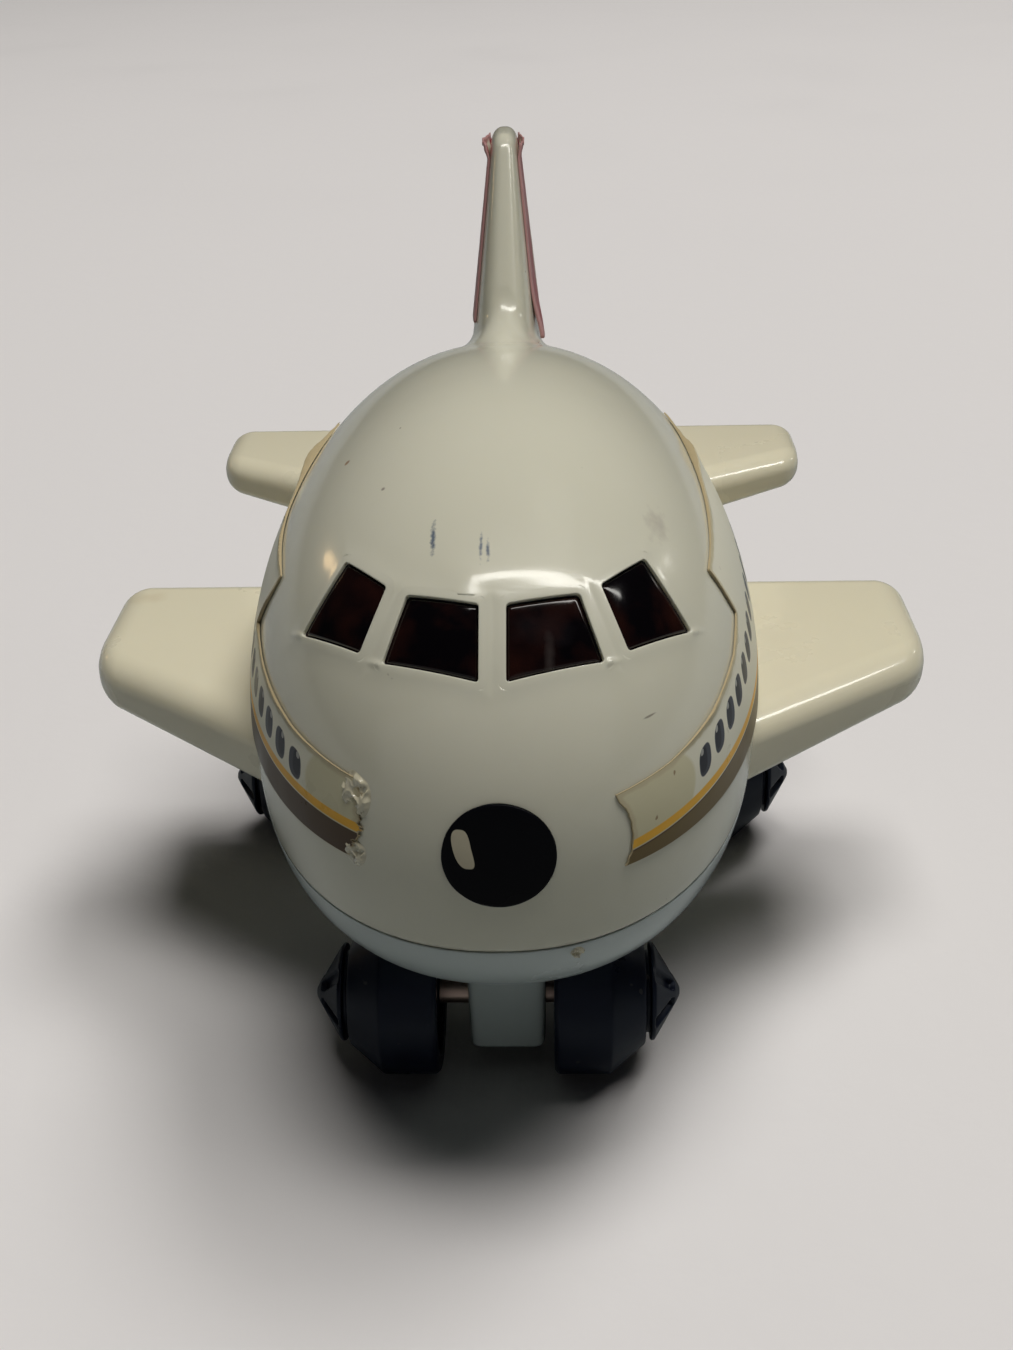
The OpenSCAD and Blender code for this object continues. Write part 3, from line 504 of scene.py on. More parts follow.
def on_egg(u, v):
    """Point of the egg that lies on the windows' normal through a place in their plane, by bisection."""
    s, c = math.sin(WINDOW_TILT), math.cos(WINDOW_TILT)
    near, far = np.full(u.shape, -9.0), np.full(u.shape, 14.0)
    for _ in range(40):
        t = (near + far) / 2
        x, y, z = u, WINDOW_AT[0] + v * c - t * s, WINDOW_AT[1] + v * s + t * c
        inside = plan_sum(x, y) ** (2 / PLAN_FULL) + (abs(z - MID_Z) / ROOF_H) ** 2 < 1
        near, far = np.where(inside, t, near), np.where(inside, far, t)
    return np.stack([x, y, z], -1)


def raised_skin(u, v):
    """Point of the skin, with its frames, brow and creases, over a place in the windows' plane."""
    point = on_egg(u, v)
    return point + body_normal(point) * surface_height(point, window_distance(point))[..., None]


# The frames carry the windows' crisp edges. Each is a ring that starts on the wall of its opening,
# turns over a small lip and runs out over the skin, where it dips under it.
def frame_grid(corners, side):
    """Ring over one pane's outline: distance from the outline one way, the way round it the other."""
    line, outward = rounded_outline(corners, CORNER_R)
    turn = np.linspace(0, math.pi / 2, 5)
    proud, end_dip, step = 0.006, 0.03, 0.03
    offsets = np.concatenate([[0, 0, 0], FRAME_LIP * (1 - np.cos(turn)), np.linspace(0.13, FRAME_REACH, 9)])
    sinks = np.concatenate([[1.3, 0.8, 0.3], FRAME_LIP * (1 - np.sin(turn)), np.zeros(8), [end_dip]])
    place = line[None] + outward[None] * offsets[:, None, None]
    u, v = place[..., 0], place[..., 1]
    normals = np.cross(raised_skin(u + step, v) - raised_skin(u - step, v),
                       raised_skin(u, v + step) - raised_skin(u, v - step))
    normals = normals / np.linalg.norm(normals, axis=-1, keepdims=True)
    weight = np.broadcast_to(ramp((offsets - FRAME_LIP) / 0.2)[:, None, None], normals.shape[:2] + (1,))
    points = raised_skin(u, v)
    points = points + body_normal(points) * (proud - sinks[:, None])[..., None]
    return *grid_mesh(points, side), np.concatenate([normals * [side, 1, 1], weight], -1)


def spot(tree, centre, radii, soft, ragged, size):
    """Mask of a small ellipsoid in millimetres, whose edge a noise of a size makes ragged."""
    place = tree.nodes.new("ShaderNodeTexCoord").outputs["Object"]
    for operation, numbers in (("SUBTRACT", centre), ("DIVIDE", radii), ("LENGTH", (0, 0, 0))):
        step = tree.nodes.new("ShaderNodeVectorMath")
        step.operation = operation
        give(step.inputs[0], place)
        step.inputs[1].default_value = [v * MM for v in numbers]
        place = step.outputs[0]
    reach = Amount(step.outputs["Value"]) + (noise(tree, size) - 0.5) * ragged
    return ((1.0 - reach) * soft).held()


SHELL_MARKS = [
    # centre, radii, colour, softness, raggedness, grain: three ticks of ink, two specks, a rubbed smudge,
    # a dot and a scratch below the windows, and the dirt along the seam
    ((-4.28, -21.79, 51.69), (0.24, 1.7, 1.7), (0.16, 0.19, 0.23), 1.3, 1.5, 3600.0),
    ((-0.85, -22.9, 51.54), (0.16, 1.3, 1.3), (0.2, 0.23, 0.27), 1.2, 1.5, 3600.0),
    ((-0.35, -23.2, 51.3), (0.16, 1.0, 1.0), (0.18, 0.21, 0.25), 1.3, 1.5, 3600.0),
    ((-11.82, -8.91, 52.27), (0.3, 0.3, 0.3), (0.44, 0.31, 0.2), 2.0, 0.8, 1500.0),
    ((-8.33, -15.63, 52.87), (0.2, 0.2, 0.2), (0.38, 0.34, 0.28), 2.0, 0.4, 1500.0),
    ((11.94, -16.45, 50.08), (1.3, 1.8, 1.3), (0.55, 0.51, 0.42), 0.7, 2.0, 1100.0),
    ((2.9, -31.9, 42.6), (0.14, 0.14, 0.22), (0.2, 0.17, 0.12), 3.0, 0.3, 1500.0),
    ((10.8, -28.9, 41.2), (0.7, 0.9, 0.09), (0.36, 0.33, 0.26), 2.0, 0.7, 1500.0),
    ((0, 0, SEAM_Z), (900, 900, 0.3), (0.4, 0.36, 0.27), 1.0, 2.4, 420.0),
]


def mark_shell(material):
    """Paints the marks, and adds a fine grain to the relief, strongest in a scuff along the brow."""
    tree = material.node_tree
    for centre, radii, colour, soft, ragged, size in SHELL_MARKS:
        paint(material, spot(tree, centre, radii, soft, ragged, size), colour)
    scuff = spot(tree, (3.6, -24.7, 50.0), (6.2, 1.6, 1.0), 1.2, 0.9, 500.0)
    relief = shader_of(material)["Normal"].links[0].from_node.inputs["Height"]
    height = Amount(relief.links[0].from_socket)
    give(relief, height + noise(tree, 4200, detail=3) * (scuff * 9.0 + 0.1))


shell_white = moulded("shell_white", (0.77, 0.745, 0.60), (0.72, 0.70, 0.555), (0.28, 0.24, 0.18), 0.2,
                      coat=0.62, coat_rough=0.08, bump=0.015, cloud=55.0, limit=0.83, scatter=0.12)
mark_shell(shell_white)
add_piece("upper_shell_skin", *shell_grid(), shell_white, "shell_white", ["upper_shell"])
SIDES = {"left": -1, "right": 1}
for pane_name, corners in (("inner", INNER_PANE), ("outer", OUTER_PANE)):
    for side_name, side in SIDES.items():
        *ring, ring_normals = frame_grid(corners, side)
        add_piece(f"window_frame_{pane_name}_{side_name}", *ring, shell_white, "shell_white",
                  normals=ring_normals)

# Fin
# The tall fin above the tail, moulded in one with the shell. It widens towards its foot, its rear top
# corner is rounded off, and it flows out into the roof with a hollow fillet, the largest in front.
FIN_TOP, FIN_TIP_LEAD, FIN_TRAIL, FIN_SWEEP = 70.2, 26.5, 33.5, 0.85
FIN_TIP_T, FIN_FLARE, FIN_ROUND, FIN_CORNER = 2.2, 0.24, 1.0, 2.2
FILLET_SIDE, FILLET_FRONT = 1.7, 4.1


def roof_z(x, y):
    """Height of the roof over a place in plan."""
    return MID_Z + ROOF_H * np.sqrt(np.maximum(0, 1 - plan_sum(x, y) ** (2 / PLAN_FULL)))


def fin_lead(z):
    """Place of the fin's swept front edge at a height."""
    return FIN_TIP_LEAD - FIN_SWEEP * (FIN_TOP - z)


def fin_half(z):
    """Half of the fin's thickness at a height."""
    return FIN_TIP_T / 2 + FIN_FLARE / 2 * (FIN_TOP - z)


def fin_outline(z, around, inset=0.0, thin=1.0):
    """Point of the fin's outline at a height: a long rounded shape between its two edges."""
    lead = fin_lead(z) + inset
    near_top = np.clip(z - FIN_TOP + FIN_CORNER, 0, FIN_CORNER)
    trail = FIN_TRAIL - inset - FIN_CORNER + np.sqrt(FIN_CORNER ** 2 - near_top ** 2)
    across, along = signed_power(np.cos(around), 0.7), signed_power(np.sin(around), 0.8)
    return fin_half(z) * thin * across, (lead + trail) / 2 + (trail - lead) / 2 * along


def fin_grid():
    """Columns from the rounded tip down to the roof, then out along a quarter-round fillet."""
    around = np.linspace(0, 2 * np.pi, 97)[:-1]
    fillet = FILLET_SIDE + (FILLET_FRONT - FILLET_SIDE) * np.clip(-np.sin(around), 0, 1) ** 10
    base = np.full(around.shape, 52.0)
    for _ in range(12):
        base = 0.5 * base + 0.5 * roof_z(*fin_outline(base, around))
    points = []
    tip_foot, sunk = FIN_TOP - FIN_ROUND, 0.012
    for a in np.radians(np.linspace(4, 90, 8)):
        z = tip_foot + FIN_ROUND * math.cos(a)
        x, y = fin_outline(z, around, inset=1 - math.sin(a), thin=0.25 + 0.75 * math.sin(a))
        points.append(np.stack([x, y, np.full(around.shape, z)], -1))
    for share in np.linspace(0, 1, 90)[1:] ** 0.7:
        z = tip_foot * (1 - share) + base * share
        rise = np.clip((z - base) / fillet, 0, 1)
        flare = fillet * (1 - np.sqrt(1 - (1 - rise) ** 2))
        x, y = fin_outline(z, around)
        nx, ny = np.gradient(y), -np.gradient(x)
        size = np.hypot(nx, ny) + 1e-9
        x, y = x + nx / size * flare, y + ny / size * flare
        drop = (roof_z(x, y) - base) * (1 - rise)
        points.append(np.stack([x, y, z + drop - sunk * (rise <= 0)], -1))
    grid = np.array(points)
    return grid_mesh(grid, start=(0, (grid[0, :, 1].min() + grid[0, :, 1].max()) / 2, FIN_TOP))


add_piece("fin_skin", *fin_grid(), shell_white, "shell_white")

# Lower hull
# The belly half of the body, a cooler white, with the nose strut moulded under it, an opening that
# the motor case hangs through, and two deep holes for the body screws.
CASE_HALF_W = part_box("motor_case_right")[1][0] / MM
CASE_FRONT, CASE_BACK, CASE_LIFT, CASE_ROOM, ROOM_SOFT = 6.5, 20.3, 1.3, 0.45, 0.3
SCREW_AT, HEAD_R, SCREW_LIFT, SCREW_ROOM = (-12.0, 25.8), 2.0, 2.5, 0.1


def hull_grid():
    """Rings from the belly's pole up to the seam, over its rounded edge, and inside down again.

    The skin is lifted clear of the motor case and of the body screws' heads."""
    angle = np.linspace(0, 2 * np.pi, 361)[:-1]
    widest = level(np.array(SEAM_Z - 0.35))
    spread = np.linspace(0.03, 1, 150) * widest
    outer = MID_Z - BELLY_H * (1 - spread ** BELLY_FULL) ** (1 / BELLY_FULL)
    high, seam_angle = SEAM_Z - SEAM_GAP, math.asin((MID_Z - SEAM_Z) / BELLY_H)
    heights = np.concatenate([outer, high - SEAM_EDGE_R * (1 - np.sin(SEAM_TURN)), [high],
                              MID_Z - (BELLY_H - WALL) * np.sin(np.linspace(seam_angle + 0.1, 1.5, 10))])
    depths = np.concatenate([0 * outer, SEAM_EDGE_R * (1 - np.cos(SEAM_TURN)), np.full(11, WALL)])
    z, a = np.meshgrid(heights, angle, indexing="ij")
    points = body_point(z, a, depths[:, None])
    x, y = points[..., 0], points[..., 1]
    surface = (np.arange(len(heights)) < len(outer))[:, None]
    beyond = np.maximum(abs(x) - CASE_HALF_W, np.maximum(CASE_FRONT - y, y - CASE_BACK))
    lift = CASE_LIFT * ramp((CASE_ROOM - beyond) / ROOM_SOFT)
    for screw_y in SCREW_AT:
        lift = np.maximum(lift, SCREW_LIFT * ramp((HEAD_R + SCREW_ROOM - np.hypot(x, y - screw_y)) / 0.25))
    points[..., 2] += np.where(surface, lift, 0)
    return grid_mesh(points[::-1], start=(0, MID_Y, MID_Z - BELLY_H + WALL), end=(0, MID_Y, MID_Z - BELLY_H))


hull_white = moulded("hull_white", (0.57, 0.635, 0.62), (0.52, 0.58, 0.565), (0.25, 0.24, 0.2), 0.22,
                     coat=0.4, bump=0.02, cloud=70.0, limit=0.8, scatter=0.12)
add_piece("hull_skin", *hull_grid(), hull_white, "hull_white", ["lower_hull"])
STRUT_HALF_W, STRUT_HALF_L, STRUT_FOOT, STRUT_TOP, STRUT_Y, STRUT_DRAFT = 3.2, 3.4, 3.3, 15.3, -19.0, 0.02


def strut_grid():
    """Square-ish block with draft: a superellipse outline that grows upwards, with a rounded foot."""
    around = np.linspace(0, 2 * np.pi, 97)[:-1]
    across, along = signed_power(np.cos(around), 0.2), signed_power(np.sin(around), 0.2)
    curve = np.radians(np.linspace(90, 0, 7))
    foot_r = 0.7
    heights = np.concatenate([STRUT_FOOT + foot_r * (1 - np.sin(curve)),
                              np.linspace(STRUT_FOOT + foot_r, STRUT_TOP, 12)[1:]])[::-1]
    inset = np.concatenate([foot_r * (1 - np.cos(curve)), np.zeros(11)])[::-1]
    grown = (STRUT_DRAFT * (heights - STRUT_FOOT) - inset)[:, None]
    x, y = (STRUT_HALF_W + grown) * across, STRUT_Y + (STRUT_HALF_L + grown) * along
    points = np.stack([x, y, np.broadcast_to(heights[:, None], x.shape)], -1)
    return grid_mesh(points, start=(0, STRUT_Y, STRUT_TOP), end=(0, STRUT_Y, STRUT_FOOT))


add_piece("nose_strut", *strut_grid(), hull_white, "hull_white")

# Cockpit panes
# One clear smoked insert glued behind the shell, whose four raised panes fill the windows almost
# flush. Seen from outside they are near black, with a red-brown depth.
PANE_GAP, PANE_EDGE, PANE_DEPTH, GROOVE_DEPTH, CROWN = 0.08, 0.11, 0.1, 0.31, 0.07


def pane_grid(corners, side):
    """Rings from the wall of an opening to its middle: a dark groove, a round edge, then a low crown."""
    line, outward = rounded_outline(corners, CORNER_R)
    centre = line.mean(0)
    turn, inwards = np.linspace(0, math.pi / 2, 8), np.linspace(0, 1, 15)[1:]
    offsets = np.concatenate([[0.06, 0.0, -0.04, -0.07], np.full(22, -PANE_GAP)])
    shrink = np.concatenate([np.zeros(4), PANE_EDGE * (1 - np.cos(turn)),
                             PANE_EDGE + (0.97 - PANE_EDGE) * inwards])
    depths = np.concatenate([[0.2, 0.17, 0.27, GROOVE_DEPTH],
                             GROOVE_DEPTH - (GROOVE_DEPTH - PANE_DEPTH) * np.sin(turn),
                             PANE_DEPTH - CROWN * inwards ** 0.7])
    place = line[None] + outward[None] * offsets[:, None, None]
    place = centre + (place - centre) * (1 - shrink)[:, None, None]
    points = on_egg(place[..., 0], place[..., 1])
    points = points - body_normal(points) * depths[:, None, None]
    return grid_mesh(points, side, end=points[-1].mean(0))


def pane_material():
    """Near black, with clouds of red-brown, a smear on one pane and, above it, a paler patch that is a
    painted reflection.
    """
    material = bpy.data.materials.new("smoked_pane")
    material.use_nodes = True
    tree, shader = material.node_tree, shader_of(material)
    marks = place_marks(material, 260, 0.76)
    hue = tree.nodes.new("ShaderNodeValToRGB")
    black, brown = hue.color_ramp.elements
    black.position, black.color = 0.42, (0.0022, 0.0016, 0.0024, 1)
    brown.position, brown.color = 0.7, (0.022, 0.0065, 0.0045, 1)
    give(hue.inputs["Fac"], marks["Cloud"])
    give(shader["Base Color"], hue.outputs["Color"])
    smear = spot(tree, (3.9, -29.4, 46.1), (0.45, 2.2, 2.2), 0.9, 1.2, 700.0)
    # Painted reflection: a paler patch on the pane that stands in for the room mirrored in it.
    painted_sheen = spot(tree, (3.9, -28.2, 48.2), (2.9, 1.7, 1.7), 0.7, 0.9, 420.0)
    paint(material, smear * 0.55, (0.075, 0.062, 0.058))
    paint(material, painted_sheen * 0.6, (0.03, 0.027, 0.03))
    give(shader["Roughness"], marks["Speck"].mapped(0, 1, 0.08, 0.35))
    shader["Specular IOR Level"].default_value = 0.4
    return material


def pane_pieces():
    """The four panes, joined into one piece as on the insert."""
    points, faces = [], []
    for corners in (INNER_PANE, OUTER_PANE):
        for side in SIDES.values():
            pane, quads = pane_grid(corners, side)
            first = sum(len(part) for part in points)
            points.append(pane)
            faces += [tuple(first + k for k in quad) for quad in quads]
    return np.concatenate(points), faces


add_piece("cockpit_panes", *pane_pieces(), pane_material(), "smoked_pane", ["cockpit_glazing"])

# Nose disc
# A round of glossy black vinyl stuck on the nose, printed with one cream bean of shine. Its cut edge
# is a little uneven.
DISC_R, DISC_Z, DISC_SIDE, DISC_TILT, DISC_SPAN, VINYL_T = 4.0, 34.0, 0.3, math.radians(11), 10.0, 0.2
BEAN_SIDE, BEAN_UP, BEAN_HALF_W, BEAN_HALF_H, BEAN_BEND, BEAN_SLANT = -2.5, 0.75, 0.66, 1.5, 0.06, 0.2


def nose_front(x, z, depth):
    """Point of the nose at a place seen from the front."""
    plan = level(z, depth) ** PLAN_FULL - abs(x / (BODY_HALF_W - depth)) ** PLAN_FULL
    return np.stack([x, MID_Y - (NOSE_L - depth) * np.maximum(0, plan) ** (1 / PLAN_FULL), z], -1)


def disc_grid():
    """Rings out over the disc's face, down its rounded edge and back under it.

    They run the left-hand way round, so their mirror image goes in as a left side's, which turns them
    and their faces outwards."""
    around = np.linspace(0, 2 * np.pi, 145)[:-1]
    uneven = 1 + 0.006 * ripple(around * 3, 4) * np.sin(around / 2)
    face_out = VINYL_T + 0.06
    radii = np.concatenate([np.linspace(0.04, 0.985, 22), [0.996, 1.0, 1.0, 0.97]])
    out = np.concatenate([np.full(22, face_out), [VINYL_T + 0.03, VINYL_T - 0.04, 0.06, 0.05]])
    r, a = np.meshgrid(radii, around, indexing="ij")
    r = r * np.where(r > 0.9, uneven[None, :], 1) * DISC_R
    u, v = r * np.cos(a), r * np.sin(a)
    points = nose_front(DISC_SIDE + u, DISC_Z + math.cos(DISC_TILT) * v, -out[:, None])
    uv = np.concatenate([np.stack([u, v], -1).reshape(-1, 2), [[0, 0]]]) / DISC_SPAN + 0.5
    pole = nose_front(DISC_SIDE, DISC_Z, -face_out)
    mirror = [-1, 1, 1]
    return *grid_mesh(points * mirror, SIDES["left"], start=pole * mirror), uv


def uv_axes(tree, span, middle=0.0):
    """The two UV coordinates as amounts, in millimetres from the middle."""
    parts = tree.nodes.new("ShaderNodeSeparateXYZ")
    give(parts.inputs[0], tree.nodes.new("ShaderNodeTexCoord").outputs["UV"])
    return [(Amount(parts.outputs[k]) - middle) * span for k in (0, 1)]


def disc_material():
    """Black with a cream bean: a slanting superellipse that bends round a point right of it."""
    material = moulded("black_vinyl", (0.0015, 0.0016, 0.003), (0.003, 0.0032, 0.005), (0.03, 0.03, 0.03),
                       0.25, specular=0.07, bump=0.02, limit=0.8)
    u, v = uv_axes(material.node_tree, DISC_SPAN, 0.5)
    up = v - BEAN_UP
    across = u - BEAN_SIDE - abs(up) ** 2 * BEAN_BEND + up * BEAN_SLANT
    far = abs(across / BEAN_HALF_W) ** 3.0 + abs(up / BEAN_HALF_H) ** 3.0
    paint(material, ((1.0 - far) * 9).held(), (0.64, 0.58, 0.43))
    return material


*disc, disc_uv = disc_grid()
add_piece("nose_disc_vinyl", *disc, disc_material(), "black_vinyl", ["nose_disc"], uv=disc_uv)

# Wings and tailplanes
# Thick stubby slabs of cream plastic, yellower than the shell, with rounded edges and tips. Each
# butts against the shell and is held by a tab in its slot.
FRONT_TOP_ROUND = 1.9
# The inner end, the root and the tip from the middle; the front edge at root and tip; the rear edge; the
# top; the thickness at root and tip; and the radii of the tip in plan and of the edges.
SLABS = {
    "wing": dict(x_in=17.5, x_root=21.0, x_tip=38.2, lead_root=-12.0, lead_tip=0.0, trail=15.5, top=30.0,
                 t_root=6.3, t_tip=4.8, plan_r=2.6, edge_r=1.3),
    "tailplane": dict(x_in=3.5, x_root=18.0, x_tip=29.2, lead_root=16.8, lead_tip=23.0, trail=32.4, top=39.8,
                      t_root=4.2, t_tip=3.4, plan_r=2.0, edge_r=1.0),
}


def slab_grid(side, x_in, x_root, x_tip, lead_root, lead_tip, trail, top, t_root, t_tip, plan_r, edge_r):
    """Rounded-box sections from the tip to the root: the tip shrinks along a quarter circle.

    The front top edge is rounded nearly twice as far as the others."""
    corner = np.linspace(0, 2 * np.pi, 161)[:-1]
    c, s = np.cos(corner), np.sin(corner)
    sign_c, sign_s = [np.where(abs(v) > 1e-6, np.sign(v), 0) for v in (c, s)]
    tip = np.radians(np.linspace(88, 0, 16))
    x = np.concatenate([x_tip - plan_r * (1 - np.sin(tip)), np.linspace(x_tip - plan_r, x_in, 20)[1:]])
    inset = np.concatenate([1 - np.cos(tip), np.zeros(19)])
    share = (x - x_root) / (x_tip - x_root)
    y0 = lead_root + (lead_tip - lead_root) * share + plan_r * inset
    y1 = trail - plan_r * inset
    z0, z1 = top - t_root - (t_tip - t_root) * share + edge_r * inset, top - edge_r * inset
    half_y, half_z = ((y1 - y0) / 2)[:, None], ((z1 - z0) / 2)[:, None]
    mid_y, mid_z = (y0 + y1) / 2, (z0 + z1) / 2
    round_r = edge_r * (1 - 0.25 * inset[:, None]) * np.where((sign_c < 0) & (sign_s > 0), FRONT_TOP_ROUND, 1)
    flat_y, flat_z = np.maximum(half_y - round_r * 1.5, 0.05), np.maximum(half_z - round_r, 0.05)
    y = mid_y[:, None] + sign_c * flat_y + (half_y - flat_y) * c
    z = mid_z[:, None] + sign_s * flat_z + (half_z - flat_z) * s
    points = np.stack([np.broadcast_to(x[:, None], y.shape), y, z], -1)
    return grid_mesh(points, side, start=(x_tip, mid_y[0], mid_z[0]), end=(x_in, mid_y[-1], mid_z[-1]))


cream = moulded("cream_plastic", (0.87, 0.81, 0.605), (0.81, 0.75, 0.55), (0.3, 0.2, 0.1), 0.3,
                coat=0.85, bump=0.004, cloud=60.0, limit=0.88, scatter=0.12)
stain = spot(cream.node_tree, (-35.3, 12.2, 29.8), (2.2, 1.5, 1.2), 0.7, 1.4, 500.0)
paint(cream, stain * 0.5, (0.6, 0.46, 0.25))
for slab_name, sizes in SLABS.items():
    for side_name, side in SIDES.items():
        add_piece(f"{slab_name}_{side_name}_skin", *slab_grid(side, **sizes), cream, "cream_plastic",
                  [f"{slab_name}_{side_name}"])

# Side stickers
# A band of printed vinyl along each side: a row of dark oval cabin windows, an orange line and a
# grey-brown stripe. Glue has yellowed its front end, the cut edge is brown, and the top edge lifts.
STICKER_GAP, REAR_ANGLE, PRINT_ANGLE, STRIP_SPAN = 0.06, 24.0, -62, 100.0
RAGGED, TORN_KNOTS, WAVE_W, WAVE_H, CURL_W, CURL_H = 0.12, 6.2, 0.9, 0.16, 3.0, 0.45
WINDOW_STEP, WINDOW_HALF_W, WINDOW_HALF_H, OVAL_FULL = 2.6, 0.94, 1.1, 2.6
LINE_HALF, STRIPE_TOP, UNDERLINE, UNDERLINE_HALF, PRINT_SHARP = 0.38, -0.42, -0.5, 0.09, 14
# Each side: the low edge's height; the front and top edges as angles in plan and heights, from the foot
# up; the orange line's height at the print's angle and its climb for each degree; the height of the row
# of windows at its first one, with its climb; the angle of that window; the windows' pitch in
# millimetres; the seed of the lifted edge's waves; and the angle of its highest curl.
STICKERS = {
    "left": dict(
        low=31.95, line=(34.55, 0.012), row=(36.3, 0.053), first=-47.4, pitch=2.72, seed=6, curl=12,
        outline=[(-61.5, 31.95), (-62.0, 32.6), (-64.4, 34.2), (-64.0, 35.6), (-64.6, 36.6), (-63.6, 37.95),
                 (-60.5, 38.05), (-46.0, 38.6), (-28.5, 39.6), (-19.3, 40.3), (-24.9, 45.1), (-19.7, 45.4),
                 (-0.8, 45.8), (23.0, 48.8)]),
    "right": dict(
        low=31.6, line=(33.2, 0.039), row=(36.02, 0.115), first=-46.1, pitch=2.54, seed=11, curl=7,
        outline=[(-65.6, 31.6), (-64.4, 32.6), (-64.0, 34.0), (-64.6, 35.5), (-67.2, 37.2), (-54.8, 37.7),
                 (-42.2, 38.7), (-30.6, 40.2), (-23.8, 41.8), (-28.4, 45.9), (-12.6, 47.45), (5.8, 48.8),
                 (23.0, 49.6)]),
}
# Both sides carry one print: the left stripe is painted darker and purpler, a painted shade of the side that
# lies in shadow.
STRIPES_LEFT_SHADED = {"left": (0.102, 0.064, 0.037), "right": (0.19, 0.137, 0.058)}


def along_body(angle):
    """Millimetres along the band at an angle in plan, from -70 degrees."""
    at = np.linspace(-70, REAR_ANGLE, 400)
    line = body_point(np.full(400, 35.0), np.radians(at))
    steps = np.linalg.norm(np.diff(line, axis=0), axis=1)
    return np.interp(angle, at, np.concatenate([[0], np.cumsum(steps)]))


def side_sticker_grid(side, low, line, row, first, pitch, seed, curl, outline):
    """Vinyl sheet as level rows, each from the ragged front or top edge back to the plain rear end.

    The right one ends in a swallow tail at the front, and the left one is torn off there."""
    knots = np.array(outline)
    at = np.linspace(0, len(knots) - 1, 380)
    start = np.interp(at, np.arange(len(knots)), knots[:, 0]) + RAGGED * ripple(at * 9, 9)
    z = np.interp(at, np.arange(len(knots)), knots[:, 1])
    if side < 0:
        torn = ramp(TORN_KNOTS - at)
        start = start + torn * (0.5 * ripple(at * 14, 5) + 0.3 * ripple(at * 45, 6))
    rim = np.stack([along_body(start), z], -1)
    start, z = np.append(start[0], start), np.append(z[0], z)
    share = np.concatenate([[0, 0], np.linspace(0, 1, 250)[1:] ** 1.25])
    a = start[:, None] + (REAR_ANGLE - start[:, None]) * share
    u = along_body(a)
    height = np.broadcast_to(z[:, None], a.shape)
    edge = np.stack([np.hypot(us[:, None] - rim[:, 0], zs[:, None] - rim[:, 1]).min(1)
                     for us, zs in zip(u, height)])
    edge = np.minimum(edge, (height - low) * 3)
    wave = 0.5 + 0.5 * ripple(u * 0.5, seed)
    lift = (0.03 + WAVE_H * wave) * ramp((WAVE_W - edge) / WAVE_W) * ramp((height - 37.5) / 1.5)
    curled = CURL_H * ramp((CURL_W - edge) / CURL_W) * np.exp(-((a - curl) / 5.0) ** 2) * (height > 43)
    out = STICKER_GAP + VINYL_T / 2 + lift + curled
    out[0] = out[:, 0] = STICKER_GAP
    points = body_point(height, np.radians(a))
    points = points + body_normal(points) * out[..., None]
    above_line = height - line[0] - line[1] * (a - PRINT_ANGLE)
    above_row = height - row[0] - row[1] * (a - first)
    uv = np.stack([(u - along_body(first)) / pitch, above_line], -1).reshape(-1, 2) / STRIP_SPAN
    return *grid_mesh(points, side, wrap=False), uv, (("edge", edge), ("above_row", above_row))


def own_value(tree, name):
    """A value that the mesh keeps for each of its points, as an amount."""
    attribute = tree.nodes.new("ShaderNodeAttribute")
    attribute.attribute_name = name
    return Amount(attribute.outputs["Fac"])


def edge_mask(tree, width, ragged):
    """Mask of what lies within a width in millimetres of the cut edge, broken up by a noise."""
    reach = own_value(tree, "edge") / width + (noise(tree, 700, detail=3) - 0.5) * (ragged * width)
    return ((1.0 - reach) * 2.5).held()


def side_sticker_material(name, stripe):
    """Print on the vinyl, in windows along the band and in millimetres above the orange line."""
    material = moulded(name, (0.73, 0.685, 0.475), (0.67, 0.62, 0.41), (0.35, 0.26, 0.14), 0.33,
                       specular=0.18, bump=0.05, cloud=160.0, limit=0.76)
    tree = material.node_tree
    along, up = uv_axes(tree, STRIP_SPAN)
    above_row = own_value(tree, "above_row")
    count = along + 0.5
    beside = (count.math("FRACT", count) - 0.5) * WINDOW_STEP

    def oval(half_w, half_h, side, rise, soft):
        """Mask of a fuller ellipse, beside and above the middle of each window."""
        far = abs((beside - side) / half_w) ** OVAL_FULL + abs((above_row - rise) / half_h) ** OVAL_FULL
        return ((1.0 - far) * soft).held()

    def line(middle, half):
        """Mask of a line along the band, at a height above the orange one."""
        return ((half - abs(up - middle)) * PRINT_SHARP).held()

    window = oval(WINDOW_HALF_W, WINDOW_HALF_H, 0, 0, 6) * along.math("GREATER_THAN", along, -0.45)
    whiter = ((along + 0.66 + abs(above_row) ** 2 * 0.09) * 8).held() * 0.8
    # White behind the yellowed front, its edge, the windows with shade and shine, stripe and lines
    print_layers = (
        (whiter, (0.84, 0.82, 0.68)),
        (edge_mask(tree, 0.5, 1.8), (0.62, 0.55, 0.36)),
        (window, (0.062, 0.068, 0.085)),
        (oval(0.6, 1.0, -0.25, 0.15, 2) * window, (0.03, 0.032, 0.042)),
        (oval(0.22, 0.24, -0.36, 0.8, 4) * window, (0.40, 0.40, 0.37)),
        # The stripe's colour, darkened on the left side as painted shade.
        (((STRIPE_TOP - up) * PRINT_SHARP).held(), stripe),
        (line(UNDERLINE, UNDERLINE_HALF), (0.09, 0.06, 0.04)),
        (line(0, LINE_HALF), (0.92, 0.5, 0.06)),
        (edge_mask(tree, 0.1, 2.4), (0.48, 0.39, 0.23)),
    )
    for mask, colour in print_layers:
        paint(material, mask, colour)
    return material


